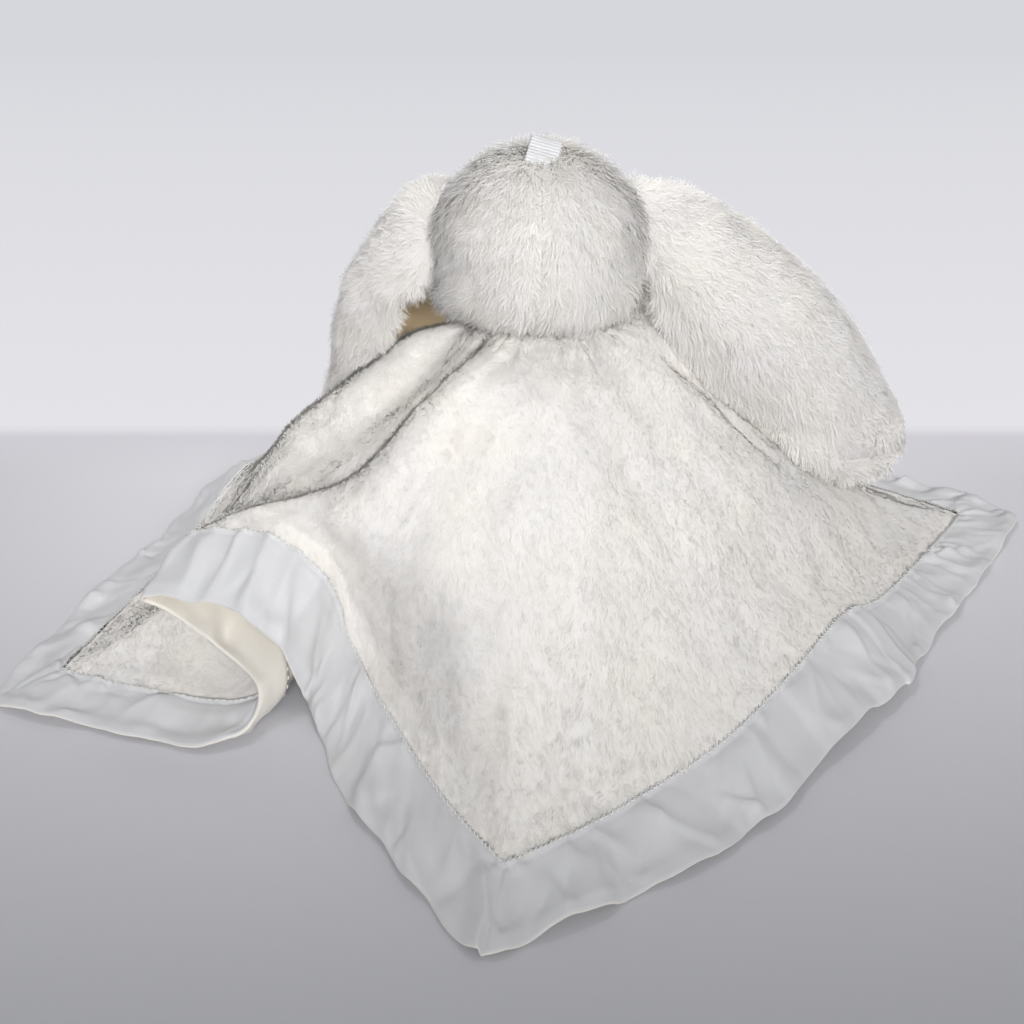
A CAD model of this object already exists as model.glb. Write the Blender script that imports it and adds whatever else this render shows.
"""A comfort blanket lovey: a plush square bound in satin, with a stuffed lop-eared bunny head.

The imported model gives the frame. Each sub-assembly below is a class that holds its sizes in
millimetres and builds its own meshes with numpy, in the model's own place.
"""
import logging
from dataclasses import dataclass, field
from enum import Enum

import bpy
import numpy as np
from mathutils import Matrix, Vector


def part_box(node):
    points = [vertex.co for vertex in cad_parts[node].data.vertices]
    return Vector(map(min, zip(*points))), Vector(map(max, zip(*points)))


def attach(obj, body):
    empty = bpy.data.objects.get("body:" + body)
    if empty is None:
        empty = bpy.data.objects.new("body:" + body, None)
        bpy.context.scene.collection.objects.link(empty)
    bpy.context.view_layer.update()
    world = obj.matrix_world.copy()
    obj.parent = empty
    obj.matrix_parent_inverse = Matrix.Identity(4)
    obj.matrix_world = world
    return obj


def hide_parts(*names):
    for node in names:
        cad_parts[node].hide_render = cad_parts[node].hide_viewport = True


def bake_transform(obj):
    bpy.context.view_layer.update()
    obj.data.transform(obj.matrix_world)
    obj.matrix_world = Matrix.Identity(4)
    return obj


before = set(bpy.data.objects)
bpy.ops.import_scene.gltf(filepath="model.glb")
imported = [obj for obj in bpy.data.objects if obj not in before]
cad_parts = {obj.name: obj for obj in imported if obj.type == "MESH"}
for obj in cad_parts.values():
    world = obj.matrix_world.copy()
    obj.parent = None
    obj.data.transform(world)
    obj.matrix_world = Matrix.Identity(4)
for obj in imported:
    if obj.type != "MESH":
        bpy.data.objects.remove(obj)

Array = np.ndarray
Amount = np.ndarray | float
Colour = tuple[float, float, float, float]
Place = tuple[float, float, float]
Material = bpy.types.Material
Node = bpy.types.Node
Pair = tuple[float, float]
Piece = bpy.types.Object
Socket = bpy.types.NodeSocket
Tree = bpy.types.NodeTree

LOG = logging.getLogger("lovey")
MM = 0.001
WAVES, WAVE_SHARE = 18, 5.0
FIBRE_BUMP, THREAD_BUMP = 0.0006, 0.0002
SEEDS = {"nap": 11, "creases": 71, "head": 200, "ear": 300}
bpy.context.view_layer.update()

# The folds, as columns from hem to neck: place round the edge in sides, a point on the hem, a point
# near the binding's seam, a point halfway out and the lift of the shoulder. X and Y are shares of the
# blanket's side, Z and the lift are shares of the neck's height.
FOLD_SHARES = (
    (0.0, (-0.053, -0.6, 0), (-0.034, -0.511, 0.012), (-0.024, -0.295, 0.56), 0.027),
    (0.14, (0.071, -0.529, 0), (0.053, -0.458, 0.035), (0.032, -0.271, 0.585), 0.027),
    (0.28, (0.179, -0.453, 0.01), (0.153, -0.382, 0.085), (0.079, -0.229, 0.595), 0.018),
    (0.44, (0.284, -0.329, 0.035), (0.247, -0.266, 0.115), (0.137, -0.176, 0.585), 0.009),
    (0.56, (0.355, -0.255, 0.035), (0.311, -0.176, 0.11), (0.179, -0.121, 0.585), 0.009),
    (0.64, (0.395, -0.189, 0.01), (0.358, -0.124, 0.055), (0.203, -0.084, 0.59), 0.018),
    (0.78, (0.482, -0.071, 0), (0.432, -0.026, 0.02), (0.232, -0.021, 0.575), 0.045),
    (1.0, (0.618, 0.132, 0), (0.534, 0.118, 0.004), (0.284, 0.058, 0.42), 0.05),
    (1.13, (0.547, 0.208, 0), (0.474, 0.174, 0.01), (0.274, 0.105, 0.45), 0.04),
    (1.32, (0.395, 0.274, 0.035), (0.326, 0.226, 0.1), (0.211, 0.147, 0.54), 0.02),
    (1.5, (0.224, 0.358, 0.06), (0.184, 0.295, 0.16), (0.111, 0.179, 0.6), 0.018),
    (1.7, (0.053, 0.437, 0.01), (0.037, 0.374, 0.09), (0.026, 0.221, 0.6), 0.018),
    (2.0, (-0.189, 0.579, 0), (-0.163, 0.505, 0.02), (-0.095, 0.279, 0.5), 0.018),
    (2.2, (-0.274, 0.416, 0.015), (-0.226, 0.368, 0.08), (-0.132, 0.205, 0.59), 0.018),
    (2.4, (-0.353, 0.274, 0.11), (-0.287, 0.221, 0.17), (-0.176, 0.121, 0.62), 0.03),
    (2.54, (-0.403, 0.145, 0.16), (-0.347, 0.084, 0.28), (-0.216, 0.034, 0.66), 0.07),
    (2.66, (-0.45, 0.074, 0.03), (-0.395, 0.021, 0.11), (-0.242, -0.011, 0.59), 0.018),
    (2.8, (-0.495, -0.053, 0), (-0.432, -0.063, 0.03), (-0.258, -0.047, 0.5), -0.018),
    (3.0, (-0.539, -0.276, 0), (-0.476, -0.237, 0.012), (-0.274, -0.121, 0.4), -0.03),
    (3.11, (-0.426, -0.316, 0), (-0.387, -0.268, 0.008), (-0.239, -0.145, 0.355), -0.035),
    (3.22, (-0.297, -0.345, 0), (-0.282, -0.287, 0.01), (-0.192, -0.166, 0.33), -0.045),
    (3.25, (-0.276, -0.334, 0.035), (-0.253, -0.279, 0.045), (-0.171, -0.163, 0.365), -0.04),
    (3.28, (-0.268, -0.305, 0.09), (-0.25, -0.258, 0.13), (-0.166, -0.158, 0.43), -0.03),
    (3.34, (-0.316, -0.255, 0.185), (-0.295, -0.192, 0.255), (-0.174, -0.153, 0.535), -0.005),
    (3.385, (-0.376, -0.226, 0.265), (-0.345, -0.161, 0.345), (-0.182, -0.153, 0.6), 0.015),
    (3.41, (-0.389, -0.226, 0.305), (-0.355, -0.158, 0.385), (-0.182, -0.161, 0.64), 0.025),
    (3.435, (-0.374, -0.234, 0.33), (-0.339, -0.166, 0.42), (-0.178, -0.171, 0.66), 0.033),
    (3.48, (-0.329, -0.247, 0.335), (-0.297, -0.182, 0.455), (-0.171, -0.189, 0.67), 0.04),
    (3.54, (-0.279, -0.266, 0.32), (-0.25, -0.205, 0.465), (-0.158, -0.213, 0.665), 0.05),
    (3.59, (-0.247, -0.276, 0.21), (-0.216, -0.216, 0.37), (-0.147, -0.226, 0.645), 0.055),
    (3.646, (-0.226, -0.282, 0.03), (-0.197, -0.221, 0.19), (-0.132, -0.239, 0.61), 0.05),
    (3.692, (-0.208, -0.321, 0), (-0.176, -0.25, 0.09), (-0.121, -0.247, 0.6), 0.048),
    (3.768, (-0.182, -0.395, 0), (-0.145, -0.313, 0.045), (-0.097, -0.263, 0.585), 0.045),
    (3.9, (-0.111, -0.516, 0), (-0.082, -0.439, 0.02), (-0.058, -0.284, 0.57), 0.035),
)

# Rows across each ear, from its root to its tip, through four points from its upper to its lower edge.
# X and Y are shares of the blanket's side from the head's side, Z of the ear root's height.
EAR_RIGHT_SHARES = (
    ((-0.015, 0.012, 0.045), (-0.006, 0.002, -0.012), (-0.002, -0.001, -0.055), (-0.002, 0.0, -0.1)),
    ((0.03, 0.028, 0.035), (0.041, 0.003, -0.05), (0.033, -0.012, -0.14), (0.018, -0.003, -0.225)),
    ((0.072, 0.042, -0.01), (0.092, 0.003, -0.125), (0.08, -0.018, -0.24), (0.038, -0.004, -0.325)),
    ((0.135, 0.06, -0.105), (0.151, 0.014, -0.215), (0.126, -0.013, -0.335), (0.069, -0.002, -0.42)),
    ((0.195, 0.076, -0.215), (0.2, 0.027, -0.325), (0.166, 0.0, -0.425), (0.108, 0.008, -0.505)),
    ((0.249, 0.091, -0.345), (0.242, 0.041, -0.46), (0.205, 0.015, -0.54), (0.153, 0.018, -0.59)),
    ((0.294, 0.107, -0.495), (0.276, 0.054, -0.585), (0.238, 0.032, -0.64), (0.19, 0.004, -0.665)),
    ((0.331, 0.122, -0.64), (0.313, 0.08, -0.675), (0.274, 0.072, -0.725), (0.244, 0.02, -0.755)),
    ((0.349, 0.13, -0.75), (0.341, 0.112, -0.762), (0.331, 0.098, -0.775), (0.321, 0.08, -0.785)),
)
EAR_LEFT_SHARES = (
    ((0.012, 0.014, 0.045), (0.0, 0.002, -0.012), (-0.002, 0.0, -0.055), (-0.002, -0.002, -0.1)),
    ((-0.008, 0.058, 0.02), (-0.033, 0.03, -0.012), (-0.038, 0.004, -0.09), (-0.02, -0.01, -0.2)),
    ((-0.008, 0.095, -0.07), (-0.06, 0.064, -0.095), (-0.072, 0.023, -0.155), (-0.047, -0.002, -0.235)),
    ((-0.003, 0.128, -0.2), (-0.078, 0.098, -0.21), (-0.101, 0.043, -0.25), (-0.058, 0.011, -0.31)),
    ((-0.002, 0.152, -0.335), (-0.085, 0.124, -0.34), (-0.116, 0.062, -0.355), (-0.071, 0.024, -0.395)),
    ((-0.013, 0.181, -0.455), (-0.095, 0.15, -0.465), (-0.124, 0.084, -0.47), (-0.096, 0.042, -0.475)),
    ((-0.041, 0.212, -0.565), (-0.11, 0.18, -0.58), (-0.139, 0.121, -0.585), (-0.12, 0.079, -0.57)),
    ((-0.103, 0.232, -0.69), (-0.134, 0.211, -0.695), (-0.151, 0.168, -0.688), (-0.147, 0.126, -0.66)),
    ((-0.139, 0.242, -0.78), (-0.15, 0.234, -0.775), (-0.156, 0.221, -0.768), (-0.158, 0.211, -0.76)),
)


# ---------------------------------------------------------------- numbers shared by the pieces


def linear(red: int, green: int, blue: int) -> Colour:
    """A colour as written, 0 to 255 a channel, turned into the shader's linear light.

    Args:
        red: red channel.
        green: green channel.
        blue: blue channel.

    Returns:
        The linear colour with alpha 1.
    """
    channel = np.array([red, green, blue], float) / 255.0
    light = np.where(channel <= 0.04045, channel / 12.92, ((channel + 0.055) / 1.055) ** 2.4)
    return (float(light[0]), float(light[1]), float(light[2]), 1.0)


def unit(vectors: Array) -> Array:
    """Vectors divided by their lengths, along the last axis."""
    return vectors / np.maximum(np.linalg.norm(vectors, axis=-1, keepdims=True), 1e-12)


def ripples(x: Array, y: Array, shortest: float, longest: float, seed: int) -> Array:
    """Smooth random relief: a sum of sine waves of random heading, phase and wavelength.

    Args:
        x: first coordinate, in mm.
        y: second coordinate, in mm.
        shortest: shortest wavelength, in mm.
        longest: longest wavelength, in mm.
        seed: number that fixes the pattern.

    Returns:
        Relief of about -1 to 1.
    """
    rng = np.random.default_rng(seed)
    total = np.zeros(np.broadcast(x, y).shape)
    for _ in range(WAVES):
        heading, phase = rng.uniform(0, 2 * np.pi, 2)
        length = rng.uniform(shortest, longest)
        total += np.sin(2 * np.pi * (x * np.cos(heading) + y * np.sin(heading)) / length + phase)
    return total / WAVE_SHARE


def smooth(low: float, high: float, value: Array) -> Array:
    """Rises smoothly from 0 at low to 1 at high, as three squared parts less two cubed."""
    part = np.clip((value - low) / (high - low), 0, 1)
    return part * part * (3 - 2 * part)


def bell(away: Amount, width: float) -> Array:
    """A bell curve: 1 in the middle, falling with the squared distance over the width."""
    return np.exp(-((away / width) ** 2))


def mound(x: Amount, half_x: float, y: Amount, half_y: float) -> Array:
    """A bell over two directions: 1 in the middle, with its own width along each."""
    return np.exp(-((x / half_x) ** 2) - (y / half_y) ** 2)


def around(value: Amount, turn: float) -> Array:
    """The same place on a closed round of length turn, from minus half of it to half."""
    return np.mod(value + turn / 2, turn) - turn / 2


def flat_uv(x: Amount, y: Amount, copies: int = 1) -> Array:
    """Texture places in metres from flat places in mm, repeated for so many copies of the grid."""
    return np.tile(np.stack(np.broadcast_arrays(x, y), -1).reshape(-1, 2) * MM, (copies, 1))


def inner_slopes(piece: Array, step: Array) -> Array:
    """Slopes at a curve's inner knots: those of both neighbours, each weighed by the other's length."""
    return (piece[:-1] * step[1:] + piece[1:] * step[:-1]) / (step[:-1] + step[1:])


def end_slope(piece: Array, inner: Array) -> Array:
    """Slope at a curve's end, from its last piece and the slope at the knot before."""
    return 1.5 * piece - 0.5 * inner


def hermite(t: Array, h: Array, start: Array, leaving: Array, end: Array, arriving: Array) -> Array:
    """Points of cubic Hermite pieces.

    Args:
        t: share of the way along each piece.
        h: the pieces' lengths.
        start: where they start.
        leaving: their slopes there.
        end: where they end.
        arriving: their slopes there.

    Returns:
        The points.
    """
    return (
        (2 * t**3 - 3 * t**2 + 1) * start
        + (t**3 - 2 * t**2 + t) * h * leaving
        + (3 * t**2 - 2 * t**3) * end
        + (t**3 - t**2) * h * arriving
    )


def pick(stack: Array, index: Array) -> Array:
    """The vectors that an index chooses from a stack, place by place."""
    return np.take_along_axis(stack, index[None, ..., None], 0)[0]


def neck_axis() -> Array:
    """The vertical axis of the neck, in mm, from the collar's box."""
    low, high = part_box("neck_collar")
    return np.array([(low[0] + high[0]) / 2, (low[1] + high[1]) / 2, 0.0]) / MM


NECK = neck_axis()


# ---------------------------------------------------------------- meshes


def placed(name: str, data: bpy.types.ID) -> Piece:
    """Puts data into the scene as an object at the origin."""
    made = bpy.data.objects.new(name, data)
    bpy.context.scene.collection.objects.link(made)
    return made


@dataclass
class Surface:
    """Points, faces and per-point values of a piece before it becomes a mesh."""

    points: Array
    quads: Array = field(default_factory=lambda: np.zeros((0, 4), np.int32))
    triangles: Array = field(default_factory=lambda: np.zeros((0, 3), np.int32))
    uv: Array | None = None
    tint: Array | None = None
    normals: Array | None = None

    def piece(self, name: str, material: Material) -> Piece:
        """Puts the surface into a mesh object at the origin.

        Args:
            name: the piece's name.
            material: its finish.

        Returns:
            The object, shaded smooth.
        """
        quads = np.asarray(self.quads, np.int32).reshape(-1, 4)
        triangles = np.asarray(self.triangles, np.int32).reshape(-1, 3)
        corners = np.concatenate([quads.ravel(), triangles.ravel()])
        starts = np.concatenate([np.arange(len(quads)) * 4, len(quads) * 4 + np.arange(len(triangles)) * 3])
        points = (self.points.reshape(-1, 3) + NECK) * MM
        mesh = bpy.data.meshes.new(name)
        mesh.vertices.add(len(points))
        mesh.vertices.foreach_set("co", points.astype(np.float32).ravel())
        mesh.loops.add(len(corners))
        mesh.loops.foreach_set("vertex_index", corners.astype(np.int32))
        mesh.polygons.add(len(starts))
        mesh.polygons.foreach_set("loop_start", starts.astype(np.int32))
        mesh.polygons.foreach_set("use_smooth", np.ones(len(starts), bool))
        mesh.update(calc_edges=True)
        if self.uv is not None:
            layer = mesh.uv_layers.new(name="cloth")
            layer.data.foreach_set("uv", self.uv.reshape(-1, 2)[corners].astype(np.float32).ravel())
        if self.tint is not None:
            tint = mesh.attributes.new("tint", "FLOAT", "POINT")
            tint.data.foreach_set("value", self.tint.ravel().astype(np.float32))
        if self.normals is not None:
            mesh.normals_split_custom_set_from_vertices(self.normals.reshape(-1, 3).astype(np.float32))
        mesh.materials.append(material)
        LOG.info("%s: %d points, %d faces", name, len(points), len(starts))
        return placed(name, mesh)


def grid_quads(rows: int, columns: int, wraps: bool) -> Array:
    """Quads of a grid, wound so that rows cross columns out of the visible side.

    Args:
        rows: rows of points.
        columns: columns of points.
        wraps: whether the last column joins the first.

    Returns:
        Corner numbers, four to a face.
    """
    row = np.arange(rows - 1)[:, None]
    column = np.arange(columns if wraps else columns - 1)[None, :]
    after = (column + 1) % columns
    here, below = row * columns, (row + 1) * columns
    corners = [here + column, below + column, below + after, here + after]
    return np.stack(np.broadcast_arrays(*corners), -1).reshape(-1, 4)


def strip_quads(first: Array, second: Array) -> Array:
    """Quads between two rows of point numbers."""
    return np.stack([first[:-1], second[:-1], second[1:], first[1:]], -1)


def cloth_body(over: Array, under: Array, wraps: bool, filled: bool = False) -> Surface:
    """A closed cloth between two grids of the same rows and columns.

    Args:
        over: rows by columns of points on the visible side.
        under: the same on the other side.
        wraps: whether the last column joins the first.
        filled: whether the first rows close to their centres.

    Returns:
        The cloth, wound outwards.
    """
    rows, columns = over.shape[:2]
    start = rows * columns
    points = [over.reshape(-1, 3), under.reshape(-1, 3)]
    upper = grid_quads(rows, columns, wraps)
    ring = np.append(np.arange(columns), 0) if wraps else np.arange(columns)
    end = ring + (rows - 1) * columns
    quads = [upper, upper[:, ::-1] + start, strip_quads(end, end + start)]
    triangles = np.zeros((0, 3), np.int32)
    if filled:
        points.append(np.stack([over[0].mean(0), under[0].mean(0)]))
        centre = np.full(len(ring) - 1, 2 * start)
        top = np.stack([centre, ring[:-1], ring[1:]], -1)
        bottom = np.stack([centre + 1, ring[1:] + start, ring[:-1] + start], -1)
        triangles = np.concatenate([top, bottom])
    else:
        quads.append(strip_quads(ring + start, ring))
    if not wraps:
        left = np.arange(rows) * columns
        right = left + columns - 1
        quads.append(np.stack([left[:-1], left[:-1] + start, left[1:] + start, left[1:]], -1))
        quads.append(np.stack([right[:-1], right[1:], right[1:] + start, right[:-1] + start], -1))
    return Surface(np.concatenate(points), np.concatenate(quads), triangles)


def closed_rings(rings: Array, ends: Array, turned: bool = False) -> Surface:
    """A closed form from rings of points, each end closed to a point.

    Args:
        rings: rings by points by x, y and z.
        ends: the first and the last point.
        turned: whether the rings run the other way round.

    Returns:
        The form, wound outwards.
    """
    rows, columns = rings.shape[:2]
    here, last, size = np.arange(columns), (rows - 1) * columns, rows * columns
    after = (here + 1) % columns
    quads = grid_quads(rows, columns, True)
    caps = [np.stack([np.full(columns, size), here, after], -1),
            np.stack([np.full(columns, size + 1), after + last, here + last], -1)]
    if turned:
        quads, caps = quads[:, ::-1], [cap[:, [0, 2, 1]] for cap in caps]
    return Surface(np.concatenate([rings.reshape(-1, 3), ends]), quads, np.concatenate(caps))


def tube(path: Array, radius: float, sides: int) -> Surface:
    """A closed thread: rings of points square to a path, with its ends closed to points.

    Args:
        path: points of the centre line.
        radius: half the thread's thickness.
        sides: points in a ring.

    Returns:
        The thread, wound outwards.
    """
    along = unit(np.gradient(path, axis=0))
    side = unit(np.cross(along, np.array([0.13, 0.21, 0.97])))
    other = np.cross(along, side)
    angle = np.linspace(0, 2 * np.pi, sides, endpoint=False)
    ring = np.cos(angle)[None, :, None] * side[:, None] + np.sin(angle)[None, :, None] * other[:, None]
    ends = np.stack([path[0] - along[0] * radius, path[-1] + along[-1] * radius])
    return closed_rings(path[:, None] + ring * radius, ends, turned=True)


# ---------------------------------------------------------------- pile


@dataclass
class ClothGrid:
    """A finished cloth surface, as rows by columns of points, that pile is planted on."""

    points: Array
    wraps: bool = False

    def __post_init__(self) -> None:
        """Works out the normals: the row difference crossed with the column difference."""
        outward = np.gradient(self.points, axis=0)
        if self.wraps:
            along = np.roll(self.points, -1, 1) - np.roll(self.points, 1, 1)
        else:
            along = np.gradient(self.points, axis=1)
        self.normals = unit(np.cross(outward, along))

    def blend(self, values: Array, row: Array, column: Array) -> Array:
        """Values between grid points, from the four round each place by how near they are.

        Args:
            values: rows by columns of vectors.
            row: fractional rows.
            column: fractional columns.

        Returns:
            One vector for each place.
        """
        rows, columns = self.points.shape[:2]
        row = np.clip(row, 0, rows - 1.0001)
        column = np.mod(column, columns) if self.wraps else np.clip(column, 0, columns - 1.0001)
        r, c = row.astype(int), column.astype(int) % columns
        after = (c + 1) % columns
        down, right = (row - r)[:, None], (column - np.floor(column))[:, None]
        top = values[r, c] * (1 - right) + values[r, after] * right
        return top * (1 - down) + (values[r + 1, c] * (1 - right) + values[r + 1, after] * right) * down

    def at(self, row: Array, column: Array) -> tuple[Array, Array]:
        """Points and normals at fractional rows and columns."""
        return self.blend(self.points, row, column), unit(self.blend(self.normals, row, column))

    def scatter(self, per_mm2: float, rng: np.random.Generator) -> tuple[Array, Array]:
        """Random places, as many in each cell as its area asks for.

        Args:
            per_mm2: places on a square millimetre.
            rng: source of random numbers.

        Returns:
            Fractional rows and columns.
        """
        points = np.concatenate([self.points, self.points[:, :1]], 1) if self.wraps else self.points
        one, two = points[1:, 1:] - points[:-1, :-1], points[1:, :-1] - points[:-1, 1:]
        area = np.linalg.norm(np.cross(one, two), axis=-1) / 2
        count = int(area.sum() * per_mm2)
        cell = rng.choice(area.size, count, p=area.ravel() / area.sum())
        row, column = np.divmod(cell, area.shape[1])
        return row + rng.random(count), column + rng.random(count)

    def shifted(self, height: Amount) -> Array:
        """The grid's points moved along their normals by a height in mm."""
        return self.points + self.normals * np.broadcast_to(height, self.points.shape[:2])[..., None]


@dataclass(frozen=True)
class Pile:
    """Strands of a pile or fur: how long, how they lie and how they draw into locks."""

    per_mm2: float
    length: float
    width: float
    lean: float
    stray: float
    lock: float
    draw: float
    joints: int = 2
    sink: float = 0.4
    droop: float = 0.0
    warp: float = 0.45
    lean_spread: float = 0.25
    lengths: Pair = (0.65, 1.15)
    widths: Pair = (0.7, 1.3)
    twist: float = 0.35
    taper: float = 0.55
    tone_spread: float = 0.12

    def locks(self, roots: Array, rng: np.random.Generator) -> tuple[Array, Array]:
        """The lock of each root: roots that share a cell of a warped cubic grid, about their mean point.

        Args:
            roots: points on the cloth.
            rng: source of random numbers.

        Returns:
            The middle of each root's lock and a random number from 0 to 1 for it.
        """
        x, y, z = roots.T
        warp = [ripples(a, b, 3 * self.lock, 8 * self.lock, 61 + k)
                for k, (a, b) in enumerate([(y, z), (z, x), (x, y)])]
        cells = 8192
        cell = np.floor(roots / self.lock + self.warp * np.stack(warp, -1)).astype(np.int64) + cells // 2
        key = (cell[:, 0] * cells + cell[:, 1]) * cells + cell[:, 2]
        _, lock, size = np.unique(key, return_inverse=True, return_counts=True)
        middle = np.stack([np.bincount(lock, roots[:, k]) for k in range(3)], -1) / size[:, None]
        return middle[lock], rng.random(len(size))[lock]

    def grow(self, roots: Array, normals: Array, nap: Array, reach: Array, rng: np.random.Generator,
             upright: Amount = 0.0, shade: Amount = 0.0) -> Surface:
        """Tapered strands, each a ribbon that rises from its root, bends along the nap and ends in a point.

        A strand's heading is cos(lean) of the nap plus sin(lean) of the normal, turned by a random
        stray angle. Its tip is drawn towards the middle of its lock.

        Args:
            roots: points on the cloth.
            normals: directions out of the cloth there.
            nap: directions that the pile is brushed in.
            reach: share of the full length, for each strand.
            rng: source of random numbers.
            upright: degrees added to the lean, for each strand.
            shade: added to the tint, for each strand.

        Returns:
            The strands as one surface, with a tint and the cloth's own normals.
        """
        count = len(roots)
        middle, seed = self.locks(roots, rng)
        nap = unit(nap - normals * np.sum(nap * normals, -1, keepdims=True))
        across = np.cross(nap, normals)
        turn = np.radians(rng.normal(0, self.stray, count) + (seed - 0.5) * 2 * self.stray)[:, None]
        heading = nap * np.cos(turn) + across * np.sin(turn)
        lean = rng.normal(self.lean, self.lean * self.lean_spread, count) + upright
        lean = np.radians(np.clip(lean, 3, 88))[:, None]
        length = (self.length * reach * rng.uniform(*self.lengths, count) * (0.85 + 0.3 * seed))[:, None]
        rise = heading * np.cos(lean) + normals * np.sin(lean)
        settle = heading * np.cos(lean * 0.45) + normals * np.sin(lean * 0.45) + np.array([0, 0, -self.droop])
        line = [roots - normals * self.sink]
        for k in range(self.joints):
            mix = k / max(self.joints - 1, 1)
            line.append(line[-1] + unit(rise * (1 - mix) + settle * mix) * length / self.joints)
        side = unit(np.cross(heading, normals) + normals * rng.normal(0, self.twist, count)[:, None])
        half = self.width * rng.uniform(*self.widths, count)[:, None] / 2
        tone = 0.5 + rng.normal(0, self.tone_spread, count) + (seed - 0.5) * 0.25 + shade
        points, tint = [], []
        for k, share in enumerate(np.linspace(0, 1, self.joints + 1)):
            centre = line[k] + (middle - roots) * self.draw * share**1.5
            reached = half * (1 - self.taper * share)
            points += [centre] if k == self.joints else [centre - side * reached, centre + side * reached]
            tint += [tone + (share - 0.5) * 0.5] * (1 if k == self.joints else 2)
        stack = np.stack(points, 1)
        each = stack.shape[1]
        first = (np.arange(count) * each)[:, None]
        shape = [[2 * k, 2 * k + 1, 2 * k + 3] for k in range(self.joints - 1)]
        shape += [[2 * k, 2 * k + 3, 2 * k + 2] for k in range(self.joints - 1)]
        shape.append([2 * self.joints - 2, 2 * self.joints - 1, 2 * self.joints])
        return Surface(
            points=stack.reshape(-1, 3),
            triangles=np.concatenate([first + np.array(corners) for corners in shape]),
            tint=np.clip(np.stack(tint, 1), 0, 1),
            normals=np.repeat(unit(normals + 0.25 * rise)[:, None], each, 1),
        )


# ---------------------------------------------------------------- the drape


class SmoothCurve:
    """A curve through knots with Hermite pieces: its slope at a knot blends its two neighbours by length."""

    def __init__(self, knots: Array, values: Array) -> None:
        """Works out the slopes on both sides of each knot, one-sided at whole numbers.

        Args:
            knots: places of the values.
            values: one row for each knot.
        """
        self.knots, self.values = knots, values
        step = np.diff(knots)[:, None]
        piece = np.diff(values, axis=0) / step
        leaving, arriving = np.zeros_like(values), np.zeros_like(values)
        leaving[1:-1] = arriving[1:-1] = inner_slopes(piece, step)
        for i in np.flatnonzero(np.isclose(knots % 1, 0)):
            if i < len(knots) - 1:
                leaving[i] = end_slope(piece[i], leaving[i + 1])
            if i > 0:
                arriving[i] = end_slope(piece[i - 1], arriving[i - 1])
        self.leaving, self.arriving = leaving, arriving

    def at(self, place: Array) -> Array:
        """Values at places, by the cubic Hermite formula.

        Args:
            place: places between the first and last knot.

        Returns:
            One row for each place.
        """
        i = np.clip(np.searchsorted(self.knots, place, side="right") - 1, 0, len(self.knots) - 2)
        h = (self.knots[i + 1] - self.knots[i])[..., None]
        t = (place - self.knots[i])[..., None] / h
        return hermite(t, h, self.values[i], self.leaving[i], self.values[i + 1], self.arriving[i + 1])


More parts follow.
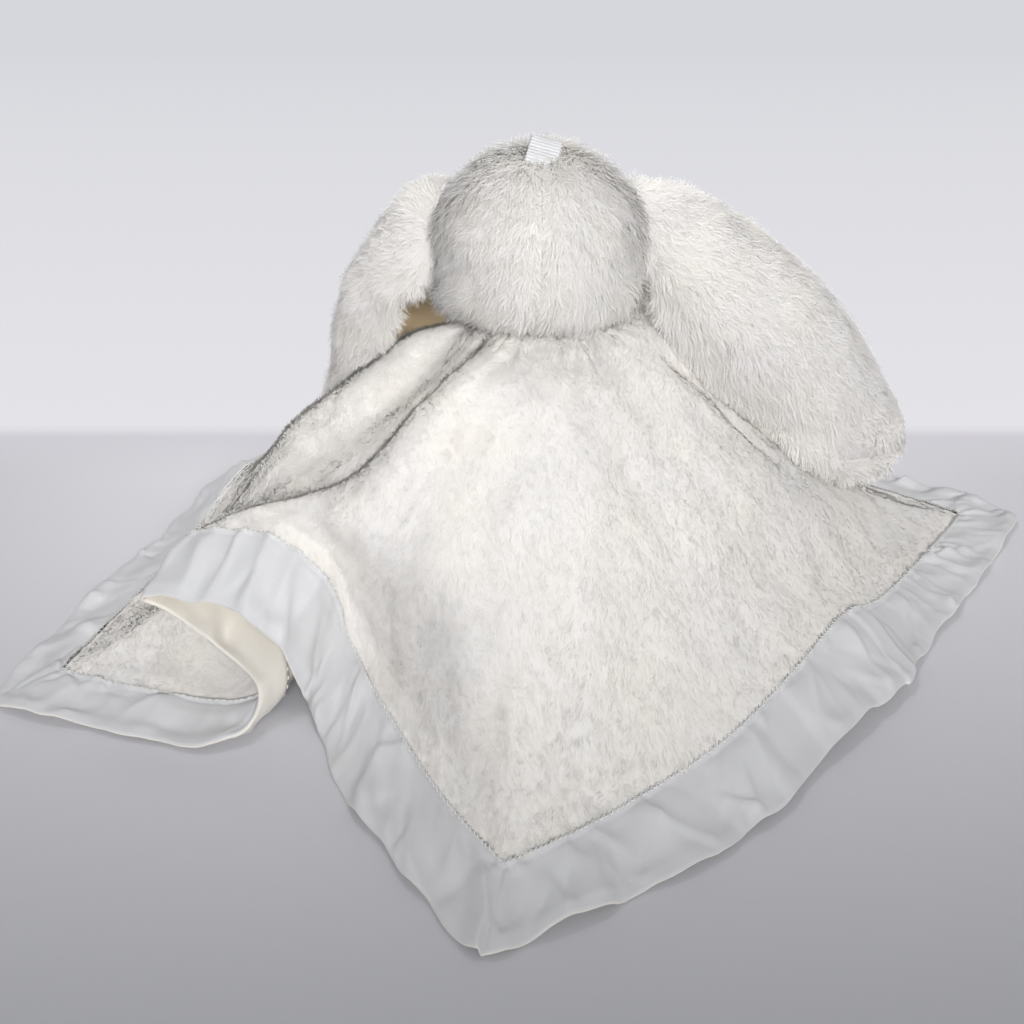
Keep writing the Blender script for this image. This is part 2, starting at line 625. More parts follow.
@dataclass
class Drape:
    """The blanket's middle surface: `place` round the edge in sides, `out` from neck to hem."""

    side: float = 380.0
    neck_height: float = 112.0
    neck_radius: float = 22.0
    neck_cloth: float = 0.9
    ground: float = 1.55
    shoulder: float = 0.29
    middle: float = 0.5
    band: float = 0.853
    corner_turns: tuple[float, ...] = (-95.0, 12.0, 108.0, 207.0, 265.0)
    probe: Pair = (0.008, 0.01)

    def __post_init__(self) -> None:
        """Builds the four curves round the blanket that the columns pass through."""
        rows = FOLD_SHARES + ((4.0,) + FOLD_SHARES[0][1:],)
        knots = np.array([row[0] for row in rows])
        scale = np.array([self.side, self.side, self.neck_height - self.ground])
        foot = np.array([0, 0, self.ground])
        self.hem_curve, self.band_curve, self.middle_curve = (
            SmoothCurve(knots, np.array([row[k] for row in rows], float) * scale + foot) for k in (1, 2, 3)
        )
        lifts = np.array([[0, 0, row[4]] for row in rows], float) * self.neck_height
        self.lift_curve = SmoothCurve(knots, lifts)
        self.neck = 2 * self.neck_radius * self.neck_cloth / self.side

    def surface(self, place: Array, out: Array) -> Array:
        """Points of the surface: a Hermite curve outwards through neck, shoulder, middle, band and hem.

        Args:
            place: sides round the edge, 0 at the front corner.
            out: share from the middle of the blanket to its hem.

        Returns:
            Points in mm, never under the cloth's height on the table.
        """
        place, out = np.broadcast_arrays(np.mod(place, 4), out)
        turns = np.radians(np.interp(place, np.arange(5), self.corner_turns))
        neck = np.stack([self.neck_radius * np.cos(turns), self.neck_radius * np.sin(turns),
                         np.full(turns.shape, self.neck_height)], -1)
        middle = self.middle_curve.at(place)
        part = (self.shoulder - self.neck) / (self.middle - self.neck)
        shoulder = neck + (middle - neck) * part + self.lift_curve.at(place)
        points = np.stack([neck, shoulder, middle, self.band_curve.at(place), self.hem_curve.at(place)])
        knots = np.array([self.neck, self.shoulder, self.middle, self.band, 1.0])
        step = np.diff(knots).reshape(-1, *([1] * (points.ndim - 1)))
        piece = np.diff(points, axis=0) / step
        slope = np.zeros_like(points)
        slope[1:-1] = inner_slopes(piece, step)
        slope[0], slope[-1] = end_slope(piece[0], slope[1]), end_slope(piece[-1], slope[-2])
        i = np.clip(np.searchsorted(knots, out, side="right") - 1, 0, 3)
        h = np.diff(knots)[i][..., None]
        t = (out - knots[i])[..., None] / h
        made = hermite(t, h, pick(points, i), pick(slope, i), pick(points, i + 1), pick(slope, i + 1))
        made[..., 2] = np.maximum(made[..., 2], self.ground)
        return made

    def normal(self, place: Array, out: Array) -> Array:
        """Directions out of the plush side: the outward difference crossed with the one along the edge."""
        aside, ahead = self.probe
        along = self.surface(place + aside, out) - self.surface(place - aside, out)
        outward = self.surface(place, out + ahead) - self.surface(place, out - ahead)
        return unit(np.cross(outward, along))

    def raised(self, place: Array, out: Array, height: Amount) -> Array:
        """Points at a height over the middle surface.

        Args:
            place: sides round the edge.
            out: share from middle to hem.
            height: mm over the surface, or under it where negative.

        Returns:
            Points in mm.
        """
        place, out = np.broadcast_arrays(place, out)
        height = np.broadcast_to(height, place.shape)
        return self.surface(place, out) + self.normal(place, out) * height[..., None]

    def columns(self, step: float, least: int) -> Array:
        """Places round the edge: every fold's column, with at least `least` steps between two of them."""
        knots = self.hem_curve.knots
        spans = [np.linspace(a, b, max(least, int(np.ceil((b - a) / step))), endpoint=False)
                 for a, b in zip(knots[:-1], knots[1:])]
        return np.concatenate(spans)

    def flat(self, place: Array, out: Array) -> tuple[Array, Array]:
        """Where a point lies on the flat square, in mm from its middle.

        Args:
            place: sides round the edge.
            out: share from middle to hem.

        Returns:
            The flat x and y.
        """
        place, half = np.mod(place, 4), out * self.side / 2
        x, y = (np.interp(place, np.arange(5), corners) * half
                for corners in ([-1, 1, 1, -1, -1], [-1, -1, 1, 1, -1]))
        return x, y

    def unflat(self, x: Array, y: Array) -> tuple[Array, Array]:
        """The place and share of a point of the flat square: the reverse of flat().

        Args:
            x: mm from the middle.
            y: mm from the middle.

        Returns:
            The place round the edge and the share out.
        """
        half = np.maximum(np.maximum(np.abs(x), np.abs(y)), 1e-9)
        sides = [(y <= -half + 1e-9), (x >= half - 1e-9), (y >= half - 1e-9)]
        places = [(x / half + 1) / 2, 1 + (y / half + 1) / 2, 2 + (1 - x / half) / 2]
        return np.select(sides, places, 3 + (1 - y / half) / 2), half * 2 / self.side


# ---------------------------------------------------------------- finishes


class Graph:
    """A material's or a group's node tree, filled node by node."""

    def __init__(self, tree: Tree) -> None:
        """Keeps the tree."""
        self.tree = tree

    def node(self, kind: str, inputs: dict | None = None, **settings: object) -> Node:
        """Adds a node.

        Args:
            kind: the node's type.
            inputs: values or sockets for its inputs, by name or number.
            settings: its other settings.

        Returns:
            The node.
        """
        made = self.tree.nodes.new(kind)
        for name, value in settings.items():
            setattr(made, name, value)
        for key, value in (inputs or {}).items():
            self.put(value, made, key)
        return made

    def put(self, value: object, node: Node, key: str | int) -> None:
        """Links a socket to a node's input, or writes a value there."""
        if isinstance(value, Socket):
            self.tree.links.new(value, node.inputs[key])
        else:
            node.inputs[key].default_value = value

    def math(self, operation: str, first: object, second: object = 0.0) -> Socket:
        """Adds a Math node and returns its result."""
        return self.node("ShaderNodeMath", {0: first, 1: second}, operation=operation).outputs[0]

    def vector(self, operation: str, inputs: dict) -> Socket:
        """Adds a Vector Math node and returns its vector."""
        return self.node("ShaderNodeVectorMath", inputs, operation=operation).outputs[0]

    def mix(self, factor: object, first: object, second: object) -> Socket:
        """Adds a colour Mix node and returns its colour."""
        return self.node("ShaderNodeMix", {0: factor, 6: first, 7: second}, data_type="RGBA").outputs[2]

    def noise(self, place: Socket, scale: object, detail: float, **more: float) -> Socket:
        """Adds a Noise node and returns its value."""
        inputs = {"Vector": place, "Scale": scale, "Detail": detail, **more}
        return self.node("ShaderNodeTexNoise", inputs).outputs[0]

    def spread(self, value: object, low: float, high: float, start: float, end: float) -> Socket:
        """Adds a Map Range node from low..high to start..end and returns its result."""
        inputs = {"Value": value, "From Min": low, "From Max": high, "To Min": start, "To Max": end}
        return self.node("ShaderNodeMapRange", inputs).outputs["Result"]

    def group(self, tree: Tree, inputs: dict) -> Node:
        """Places a shared node group with this finish's own values."""
        return self.node("ShaderNodeGroup", inputs, node_tree=tree)

    def bump(self, strength: float, distance: float, height: Socket) -> Socket:
        """Adds a Bump node and returns its normal."""
        inputs = {"Strength": strength, "Distance": distance, "Height": height}
        return self.node("ShaderNodeBump", inputs).outputs[0]

    def tint(self) -> Socket:
        """Adds an Attribute node and returns the tint that a piece's points carry."""
        return self.node("ShaderNodeAttribute", attribute_name="tint").outputs["Fac"]


def new_group(name: str, inputs: dict[str, str],
              outputs: dict[str, str]) -> tuple[Tree, Graph, dict, Node]:
    """Starts a shader node group with named sockets.

    Args:
        name: the group's name.
        inputs: socket types by name.
        outputs: socket types by name.

    Returns:
        The tree, its graph, its input sockets by name and its output node.
    """
    tree = bpy.data.node_groups.new(name, "ShaderNodeTree")
    for socket, kind in inputs.items():
        tree.interface.new_socket(socket, in_out="INPUT", socket_type=kind)
    for socket, kind in outputs.items():
        tree.interface.new_socket(socket, in_out="OUTPUT", socket_type=kind)
    graph = Graph(tree)
    entry = graph.node("NodeGroupInput")
    return tree, graph, {socket: entry.outputs[socket] for socket in inputs}, graph.node("NodeGroupOutput")


def make_soft_patches() -> Tree:
    """Slow, soft changes of tone over a cloth: smooth noise stretched to the range 0 to 1."""
    sockets = {"Place": "NodeSocketVector", "Scale": "NodeSocketFloat"}
    tree, graph, given, out = new_group("soft_patches", sockets, {"Mask": "NodeSocketFloat"})
    noise = graph.noise(given["Place"], given["Scale"], 3.0)
    graph.put(graph.spread(noise, 0.33, 0.67, 0.0, 1.0), out, "Mask")
    return tree


def make_fibre_grain() -> Tree:
    """Fine fibres: noise on places that are stretched along one direction, as a mask and a height."""
    sockets = {"Place": "NodeSocketVector", "Stretch": "NodeSocketVector"}
    outputs = {"Mask": "NodeSocketFloat", "Height": "NodeSocketFloat"}
    tree, graph, given, out = new_group("fibre_grain", sockets, outputs)
    scaled = graph.vector("MULTIPLY", {0: given["Place"], 1: given["Stretch"]})
    noise = graph.noise(scaled, 1.0, 4.0, Roughness=0.62)
    graph.put(graph.spread(noise, 0.28, 0.72, 0.0, 1.0), out, "Mask")
    graph.put(noise, out, "Height")
    return tree


def make_thread_ribs() -> Tree:
    """Ribs side by side: half of one plus the sine of a place along X over the pitch, wavering a little."""
    sockets = {"Place": "NodeSocketVector", "Pitch": "NodeSocketFloat", "Waver": "NodeSocketFloat"}
    tree, graph, given, out = new_group("thread_ribs", sockets, {"Height": "NodeSocketFloat"})
    noise = graph.noise(given["Place"], 260.0, 2.0)
    shift = graph.math("MULTIPLY", graph.math("SUBTRACT", noise, 0.5), given["Waver"])
    across = graph.node("ShaderNodeSeparateXYZ", {0: given["Place"]}).outputs["X"]
    turns = graph.math("DIVIDE", graph.math("ADD", across, shift), given["Pitch"])
    wave = graph.math("SINE", graph.math("MULTIPLY", turns, 2 * np.pi))
    graph.put(graph.math("ADD", graph.math("MULTIPLY", wave, 0.5), 0.5), out, "Height")
    return tree


@dataclass(frozen=True)
class Effects:
    """The node groups that several finishes share."""

    patches: Tree
    grain: Tree
    ribs: Tree

    def mask(self, graph: Graph, place: Node, scale: float) -> Socket:
        """Places the soft patches in a material and returns their mask."""
        return graph.group(self.patches, {"Place": place.outputs["Object"], "Scale": scale}).outputs["Mask"]


def new_material(name: str, roughness: float, sheen: float) -> tuple[Material, Graph, Node, Node]:
    """A material with a Principled shader that holds its plain numbers.

    Args:
        name: the finish's name.
        roughness: how matt it is.
        sheen: strength of the soft rim of fine fibres.

    Returns:
        The material, its graph, its shader and its coordinates.
    """
    material = bpy.data.materials.new(name)
    material.use_nodes = True
    graph = Graph(material.node_tree)
    shader = material.node_tree.nodes["Principled BSDF"]
    for key, value in (("Roughness", roughness), ("Sheen Weight", sheen), ("Sheen Roughness", 0.5)):
        shader.inputs[key].default_value = value
    return material, graph, shader, graph.node("ShaderNodeTexCoord")


@dataclass(frozen=True)
class PileFinish:
    """Plush or fur: warm and cool whites in soft patches, darker at the roots than at the tips."""

    name: str
    warm: Colour
    cool: Colour
    root: Colour
    effects: Effects
    patch_scale: float = 28.0
    stretch: Place = (700.0, 420.0, 560.0)
    strands: bool = True
    sheen: float = 0.25
    facing: float = 0.7
    rim: float = 1.8

    def material(self) -> Material:
        """Builds the material: patches mix the whites, the tint or the grain shades them.

        A strand is lit by the cloth's normal and a share of its own, on whichever side of it is seen.
        """
        made, graph, shader, place = new_material(self.name, 0.92, self.sheen)
        white = graph.mix(self.effects.mask(graph, place, self.patch_scale), self.cool, self.warm)
        grain = graph.group(self.effects.grain, {"Place": place.outputs["Object"], "Stretch": self.stretch})
        if self.strands:
            shade = graph.spread(graph.tint(), 0.0, 0.75, 1.0, 0.0)
            given = graph.node("ShaderNodeNewGeometry").outputs
            turned = graph.math("SUBTRACT", 1.0, graph.math("MULTIPLY", given["Backfacing"], 2.0))
            cloth = graph.vector("SCALE", {0: given["Normal"], "Scale": turned})
            both = {0: cloth, 1: given["True Normal"]}
            along = graph.node("ShaderNodeVectorMath", both, operation="DOT_PRODUCT").outputs["Value"]
            away = graph.math("MAXIMUM", graph.math("MULTIPLY", along, -self.rim), 0.0)
            share = graph.math("ADD", away, self.facing)
            strand = graph.vector("SCALE", {0: given["True Normal"], "Scale": share})
            facing = graph.vector("NORMALIZE", {0: graph.vector("ADD", {0: cloth, 1: strand})})
            graph.put(facing, shader, "Normal")
        else:
            shade = graph.spread(grain.outputs["Mask"], 0.0, 1.0, 0.55, 0.1)
            graph.put(graph.bump(0.35, FIBRE_BUMP, grain.outputs["Height"]), shader, "Normal")
        graph.put(graph.mix(shade, white, self.root), shader, "Base Color")
        return made


@dataclass(frozen=True)
class SatinFinish:
    """Satin or smooth lining: fine threads along the cloth, two near tones and a soft, broad gloss."""

    name: str
    light: Colour
    dark: Colour
    effects: Effects
    reverse: Colour | None = None
    gloss: Pair = (0.42, 0.58)
    sheen: float = 0.1
    relief: float = 0.12
    patch_scale: float = 34.0
    stretch: Place = (180.0, 2600.0, 1.0)

    def material(self) -> Material:
        """Builds the material: patches and threads mix its tones, the threads also turn the gloss."""
        made, graph, shader, place = new_material(self.name, self.gloss[0], self.sheen)
        patches = self.effects.mask(graph, place, self.patch_scale)
        weave = graph.group(self.effects.grain, {"Place": place.outputs["UV"], "Stretch": self.stretch})
        tone = graph.math("ADD", graph.math("MULTIPLY", patches, 0.6),
                          graph.math("MULTIPLY", weave.outputs["Mask"], 0.4))
        colour = graph.mix(tone, self.dark, self.light)
        if self.reverse:
            colour = graph.mix(graph.tint(), colour, self.reverse)
        graph.put(colour, shader, "Base Color")
        gloss = graph.spread(weave.outputs["Mask"], 0.0, 1.0, *self.gloss)
        graph.put(gloss, shader, "Roughness")
        graph.put(graph.bump(self.relief, THREAD_BUMP, weave.outputs["Height"]), shader, "Normal")
        return made


@dataclass(frozen=True)
class ThreadFinish:
    """Ribbon, embroidery or sewing thread: threads side by side at a pitch, with a silky gloss."""

    name: str
    light: Colour
    dark: Colour
    effects: Effects
    pitch: float = 0.0005
    waver: float = 0.0002
    roughness: float = 0.45
    relief: float = 0.5
    patch_scale: float = 300.0

    def material(self) -> Material:
        """Builds the material: the ribs light their crests, darken their grooves and raise the normal."""
        made, graph, shader, place = new_material(self.name, self.roughness, 0.15)
        given = {"Place": place.outputs["UV"], "Pitch": self.pitch, "Waver": self.waver}
        ribs = graph.group(self.effects.ribs, given).outputs["Height"]
        patches = self.effects.mask(graph, place, self.patch_scale)
        tone = graph.math("MULTIPLY", ribs, graph.spread(patches, 0.0, 1.0, 0.75, 1.0))
        graph.put(graph.mix(tone, self.dark, self.light), shader, "Base Color")
        graph.put(graph.bump(self.relief, THREAD_BUMP, ribs), shader, "Normal")
        return made


@dataclass(frozen=True)
class FloorFinish:
    """A plain pale floor that turns into an even, self-lit backdrop behind the object.

    The floor proper is matt and takes shadows. Beyond the first stop it mixes into the backdrop's
    own tones, which only camera, glossy and transmission rays see.
    """

    name: str
    near: Colour
    floor: Colour
    stops: tuple[tuple[float, Colour], ...]
    fade: Pair = (0.1, 0.17)
    nearby: Pair = (-0.3, 0.15)

    def material(self) -> Material:
        """Builds the material: a colour ramp along Y between the first and last stop, in metres."""
        made, graph, shader, place = new_material(self.name, 0.9, 0.0)
        along = graph.node("ShaderNodeSeparateXYZ", {0: place.outputs["Object"]}).outputs["Y"]
        low, high = self.stops[0][0], self.stops[-1][0]
        ramp = graph.node("ShaderNodeValToRGB", {0: graph.spread(along, low, high, 0.0, 1.0)})
        ramp.color_ramp.interpolation = "LINEAR"
        for at, colour in self.stops[1:-1]:
            ramp.color_ramp.elements.new((at - low) / (high - low)).color = colour
        ramp.color_ramp.elements[0].color = self.stops[0][1]
        ramp.color_ramp.elements[-1].color = self.stops[-1][1]
        tone = graph.spread(along, *self.nearby, 0.0, 1.0)
        graph.put(graph.mix(tone, self.near, self.floor), shader, "Base Color")
        rays = graph.node("ShaderNodeLightPath").outputs
        bounced = graph.math("MAXIMUM", rays["Is Glossy Ray"], rays["Is Transmission Ray"])
        seen = graph.math("MAXIMUM", rays["Is Camera Ray"], bounced)
        share = graph.math("MULTIPLY", seen, graph.spread(along, *self.fade, 0.0, 1.0))
        glow = graph.node("ShaderNodeEmission", {"Color": ramp.outputs[0]})
        mixed = graph.node("ShaderNodeMixShader", {0: share, 1: shader.outputs[0], 2: glow.outputs[0]})
        graph.put(mixed.outputs[0], made.node_tree.nodes["Material Output"], "Surface")
        return made


class Slot(Enum):
    """The record's material slots that new pieces take their finish from."""

    PLUSH = "plush"
    FUR = "fur"
    LINING = "lining"
    BACKING = "backing"
    SATIN = "satin"
    STUFFING = "stuffing"
    RIBBON = "ribbon"
    EYE_THREAD = "eye_thread"
    NOSE_THREAD = "nose_thread"


class Finishes:
    """Every finish of the object, made once."""

    def __init__(self) -> None:
        """Builds the shared groups and the materials."""
        effects = Effects(make_soft_patches(), make_fibre_grain(), make_thread_ribs())
        plush = (linear(249, 245, 239), linear(245, 243, 242), linear(236, 232, 225))
        fur = (linear(254, 251, 246), linear(249, 247, 246), linear(231, 225, 217))
        self.plush_cloth = PileFinish("plush_cloth", *plush, effects, strands=False).material()
        self.plush_pile = PileFinish("plush_pile", *plush, effects).material()
        self.fur_cloth = PileFinish("fur_cloth", *fur, effects, strands=False).material()
        self.fur_pile = PileFinish("fur_pile", *fur, effects, patch_scale=45.0).material()
        self.satin = SatinFinish("satin_binding", linear(221, 221, 223), linear(209, 208, 209), effects,
                                 reverse=linear(241, 236, 227)).material()
        self.backing = SatinFinish("smooth_backing", linear(240, 236, 226), linear(230, 225, 214),
                                   effects).material()
        self.lining = SatinFinish("ear_lining", linear(236, 214, 176), linear(224, 200, 160), effects,
                                  gloss=(0.5, 0.65), sheen=0.3).material()
        self.ribbon = ThreadFinish("grosgrain", linear(232, 232, 233), linear(196, 196, 199), effects,
                                   pitch=0.0011, relief=0.8).material()
        self.thread = ThreadFinish("seam_thread", linear(252, 252, 250), linear(226, 225, 222), effects,
                                   roughness=0.35).material()
        self.eye_thread = ThreadFinish("eye_thread", linear(84, 66, 56), linear(40, 30, 26),
                                       effects).material()
        self.nose_thread = ThreadFinish("nose_thread", linear(226, 176, 172), linear(188, 134, 130),
                                        effects).material()
        filling = (linear(252, 252, 252), linear(240, 240, 242), linear(214, 214, 218))
        self.stuffing = PileFinish("polyester_filling", *filling, effects, patch_scale=120.0,
                                   strands=False).material()


# ---------------------------------------------------------------- the blanket


@dataclass
class Blanket:
    """The plush face of the blanket, its smooth backing and its nap, inside the binding."""

    drape: Drape
    plush: float = 2.0
    backing: float = 0.8
    gap: float = 0.3
    band: float = 28.0
    allowance: float = 8.0
    step: float = 0.0098
    inner_rows: int = 66
    seam_rows: int = 22
    pucker_count: float = 4.5
    pucker_reach: float = 12.0
    fluff_place: float = 2.85
    fluff_reach: float = 17.0
    fluff_rise: float = 8.0
    fluff_length: float = 0.6
    # The matted patch in the cloth and in the nap: middle and half size along X, then along Y, in mm.
    matted: tuple[Pair, Pair] = ((-122.0, 26.0), (-150.0, 20.0))
    matted_nap: tuple[Pair, Pair] = ((-122.0, 30.0), (-148.0, 24.0))
    # Swells: place, share out, their half sizes and the height in mm.
    swells: tuple[tuple[float, ...], ...] = (
        (1.08, 0.235, 0.3, 0.085, 13.0), (1.12, 0.18, 0.22, 0.045, 3.5), (2.57, 0.56, 0.16, 0.17, 6.5),
        (2.57, 0.3, 0.12, 0.12, 2.0),
    )
    # Folds: start and end in flat mm, half width and height in mm.
    folds: tuple[tuple[float, ...], ...] = (
        (-18, -43, -33, -114, 13, -1.8), (-33, -114, -84, -138, 11, -1.6), (-34, -14, -62, -18, 9, 0.8),
        (10, -50, 12, -110, 10, 1.0), (-60, -70, -110, -90, 9, 1.2), (30, -120, 90, -128, 8, 1.0),
        (20, -38, 50, -76, 6, -2.6), (50, -74, 56, -104, 6, -2.6), (12, -41, 42, -90, 7, 1.6),
    )
    pile: Pile = Pile(per_mm2=1.8, length=3.8, width=0.36, lean=22, stray=20, lock=3.4, draw=0.3)

    def __post_init__(self) -> None:
        """Works out the seam's place and the rows and columns that the cloths share."""
        self.seam = 1 - 2 * self.band / self.drape.side
        end = self.seam + 2 * self.allowance / self.drape.side
        near = self.seam - 24 / self.drape.side
        self.outs = np.concatenate([np.linspace(self.drape.neck, near, self.inner_rows, endpoint=False),
                                    np.linspace(near, end, self.seam_rows)])
        self.places = self.drape.columns(self.step, 2)
        place, out = self.places[None, :], self.outs[:, None]
        self.middle = ClothGrid(self.drape.surface(place, out), wraps=True)
        self.face = ClothGrid(self.middle.shifted(self.relief(place, out)), wraps=True)

    def relief(self, place: Array, out: Array) -> Array:
        """Height of the plush over the middle surface.

        The cloth's thickness, plus slow ripples, a puff just inside the binding's seam, a dip in the
        seam, fine gathers that fade from the seam inwards, puckers round the neck seam, the swells and
        folds of the drape, each falling with its squared distance, and a matted patch at the front.

        Args:
            place: sides round the edge.
            out: share from middle to hem.

        Returns:
            Heights in mm.
        """
        x, y = self.drape.flat(*np.broadcast_arrays(place, out))
        inside = (self.seam - out) * self.drape.side / 2
        along = np.mod(place, 4) * self.drape.side
        soft = ripples(x, y, 22, 60, 5) * 0.55 + ripples(x, y, 9, 18, 6) * 0.22
        gathers = ripples(along, inside * 0.35, 7, 13, 7) * 0.4 * np.exp(-np.maximum(inside, 0) / 9)
        puff = 0.6 * bell(inside - 6, 4) + 0.95 * bell(inside, 2.5)
        from_neck = (out - self.drape.neck) * self.drape.side / 2
        wander = 1.1 * ripples(along, 0 * along, 60, 160, 8)
        fold = np.abs(np.sin(along / self.drape.side * np.pi * self.pucker_count + wander))
        puckers = (1.9 - 1.3 * (1 - fold) ** 2) * bell(from_neck, self.pucker_reach)
        lively = smooth(-1, 14, inside) * soft + smooth(-3, 1, inside) * (gathers + puff) + puckers
        for at_place, at_out, half_place, half_out, height in self.swells:
            swell = mound(np.mod(place, 4) - at_place, half_place, out - at_out, half_out)
            lively = lively + height * swell
        for start_x, start_y, end_x, end_y, half, height in self.folds:
            run_x, run_y = end_x - start_x, end_y - start_y
            part = np.clip(((x - start_x) * run_x + (y - start_y) * run_y) / (run_x**2 + run_y**2), 0, 1)
            away = np.hypot(x - start_x - part * run_x, y - start_y - part * run_y)
            lively = lively + height * bell(away, half) * (1 - 0.85 * (2 * part - 1) ** 2)
        (at_x, half_x), (at_y, half_y) = self.matted
        matted = mound(x - at_x, half_x, y - at_y, half_y)
        return self.gap / 2 + self.plush + lively + matted * (0.8 * ripples(x, y * 0.6, 5, 9, 9) - 0.8)

    def uv(self) -> Array:
        """Flat places of the shared grid, in metres."""
        return flat_uv(*self.drape.flat(*np.broadcast_arrays(self.places[None, :], self.outs[:, None])))

    def plush_face(self, finishes: Finishes) -> Piece:
        """Builds the plush cloth."""
        cloth = cloth_body(self.face.points, self.middle.shifted(self.gap / 2), wraps=True)
        cloth.uv = np.tile(self.uv(), (2, 1))
        return cloth.piece("plush_face", finishes.plush_cloth)

    def smooth_back(self, finishes: Finishes) -> Piece:
        """Builds the backing, closed under the neck, on every second column of the shared grid."""
        over = self.middle.shifted(-self.gap / 2)[::2, ::2]
        under = self.middle.shifted(-self.gap / 2 - self.backing)[::2, ::2]
        cloth = cloth_body(over, under, wraps=True, filled=True)
        flat = self.uv().reshape(len(self.outs), -1, 2)[::2, ::2].reshape(-1, 2)
        cloth.uv = np.concatenate([flat, flat, np.zeros((2, 2))])
        return cloth.piece("smooth_back", finishes.backing)

    def grid_place(self, x: Array, y: Array) -> tuple[Array, Array]:
        """Fractional rows and columns of flat places."""
        place, out = self.drape.unflat(x, y)
        columns = np.interp(place, np.append(self.places, 4), np.arange(len(self.places) + 1))
        return np.interp(out, self.outs, np.arange(len(self.outs))), columns

    def nap(self, finishes: Finishes, pieces: int) -> list[Piece]:
        """Plants the nap, brushed in slow swirls towards the front corner.

        Args:
            finishes: the object's finishes.
            pieces: number of pieces to part it into.

        Returns:
            The pieces of nap.
        """
        rng = np.random.default_rng(SEEDS["nap"])
        row, column = self.face.scatter(self.pile.per_mm2, rng)
        ends = np.arange(len(self.places) + 1)
        out = np.interp(row, np.arange(len(self.outs)), self.outs)
        place = np.interp(column, ends, np.append(self.places, 4))
        keep = out < self.seam + 0.3 / self.drape.side
        row, column, place, out = row[keep], column[keep], place[keep], out[keep]
        x, y = self.drape.flat(place, out)
        heading = np.radians(-118 + 38 * ripples(x, y, 70, 170, 21) + 14 * ripples(x, y, 14, 30, 22))
        ahead = self.grid_place(x + 2.5 * np.cos(heading), y + 2.5 * np.sin(heading))
        roots, normals = self.face.at(row, column)
        nap = self.face.at(*ahead)[0] - roots
        (at_x, half_x), (at_y, half_y) = self.matted_nap
        matted = mound(x - at_x, half_x, y - at_y, half_y)
        strokes = np.clip(ripples(x * 0.32 + y * 0.1, y - x * 0.25, 3.2, 6.5, 23), -0.8, 1.0)
        roots = roots + normals * (0.75 * matted * strokes)[:, None]
        shade = (0.9 * matted + 0.02) * strokes - 0.3 * matted
        reach = np.clip(0.7 + (self.seam - out) * self.drape.side / 16, 0, 1)
        fluffy = bell((out - self.drape.neck) * self.drape.side / 2, self.fluff_reach)
        fluffy = np.maximum(fluffy, 0.75 * bell(place - self.fluff_place, 0.5) * smooth(0.85, 0.5, out))
        reach *= 1 + self.fluff_length * fluffy
        shade += 0.25 * fluffy * ripples(x, y, 4, 10, 24)
        made = []
        for k, part in enumerate(np.array_split(np.argsort(np.mod(place, 4)), pieces)):
            strands = self.pile.grow(roots[part], normals[part], nap[part], reach[part], rng,
                                     self.fluff_rise * fluffy[part], shade[part])
            made.append(strands.piece(f"plush_nap_{k + 1}", finishes.plush_pile))
        return made


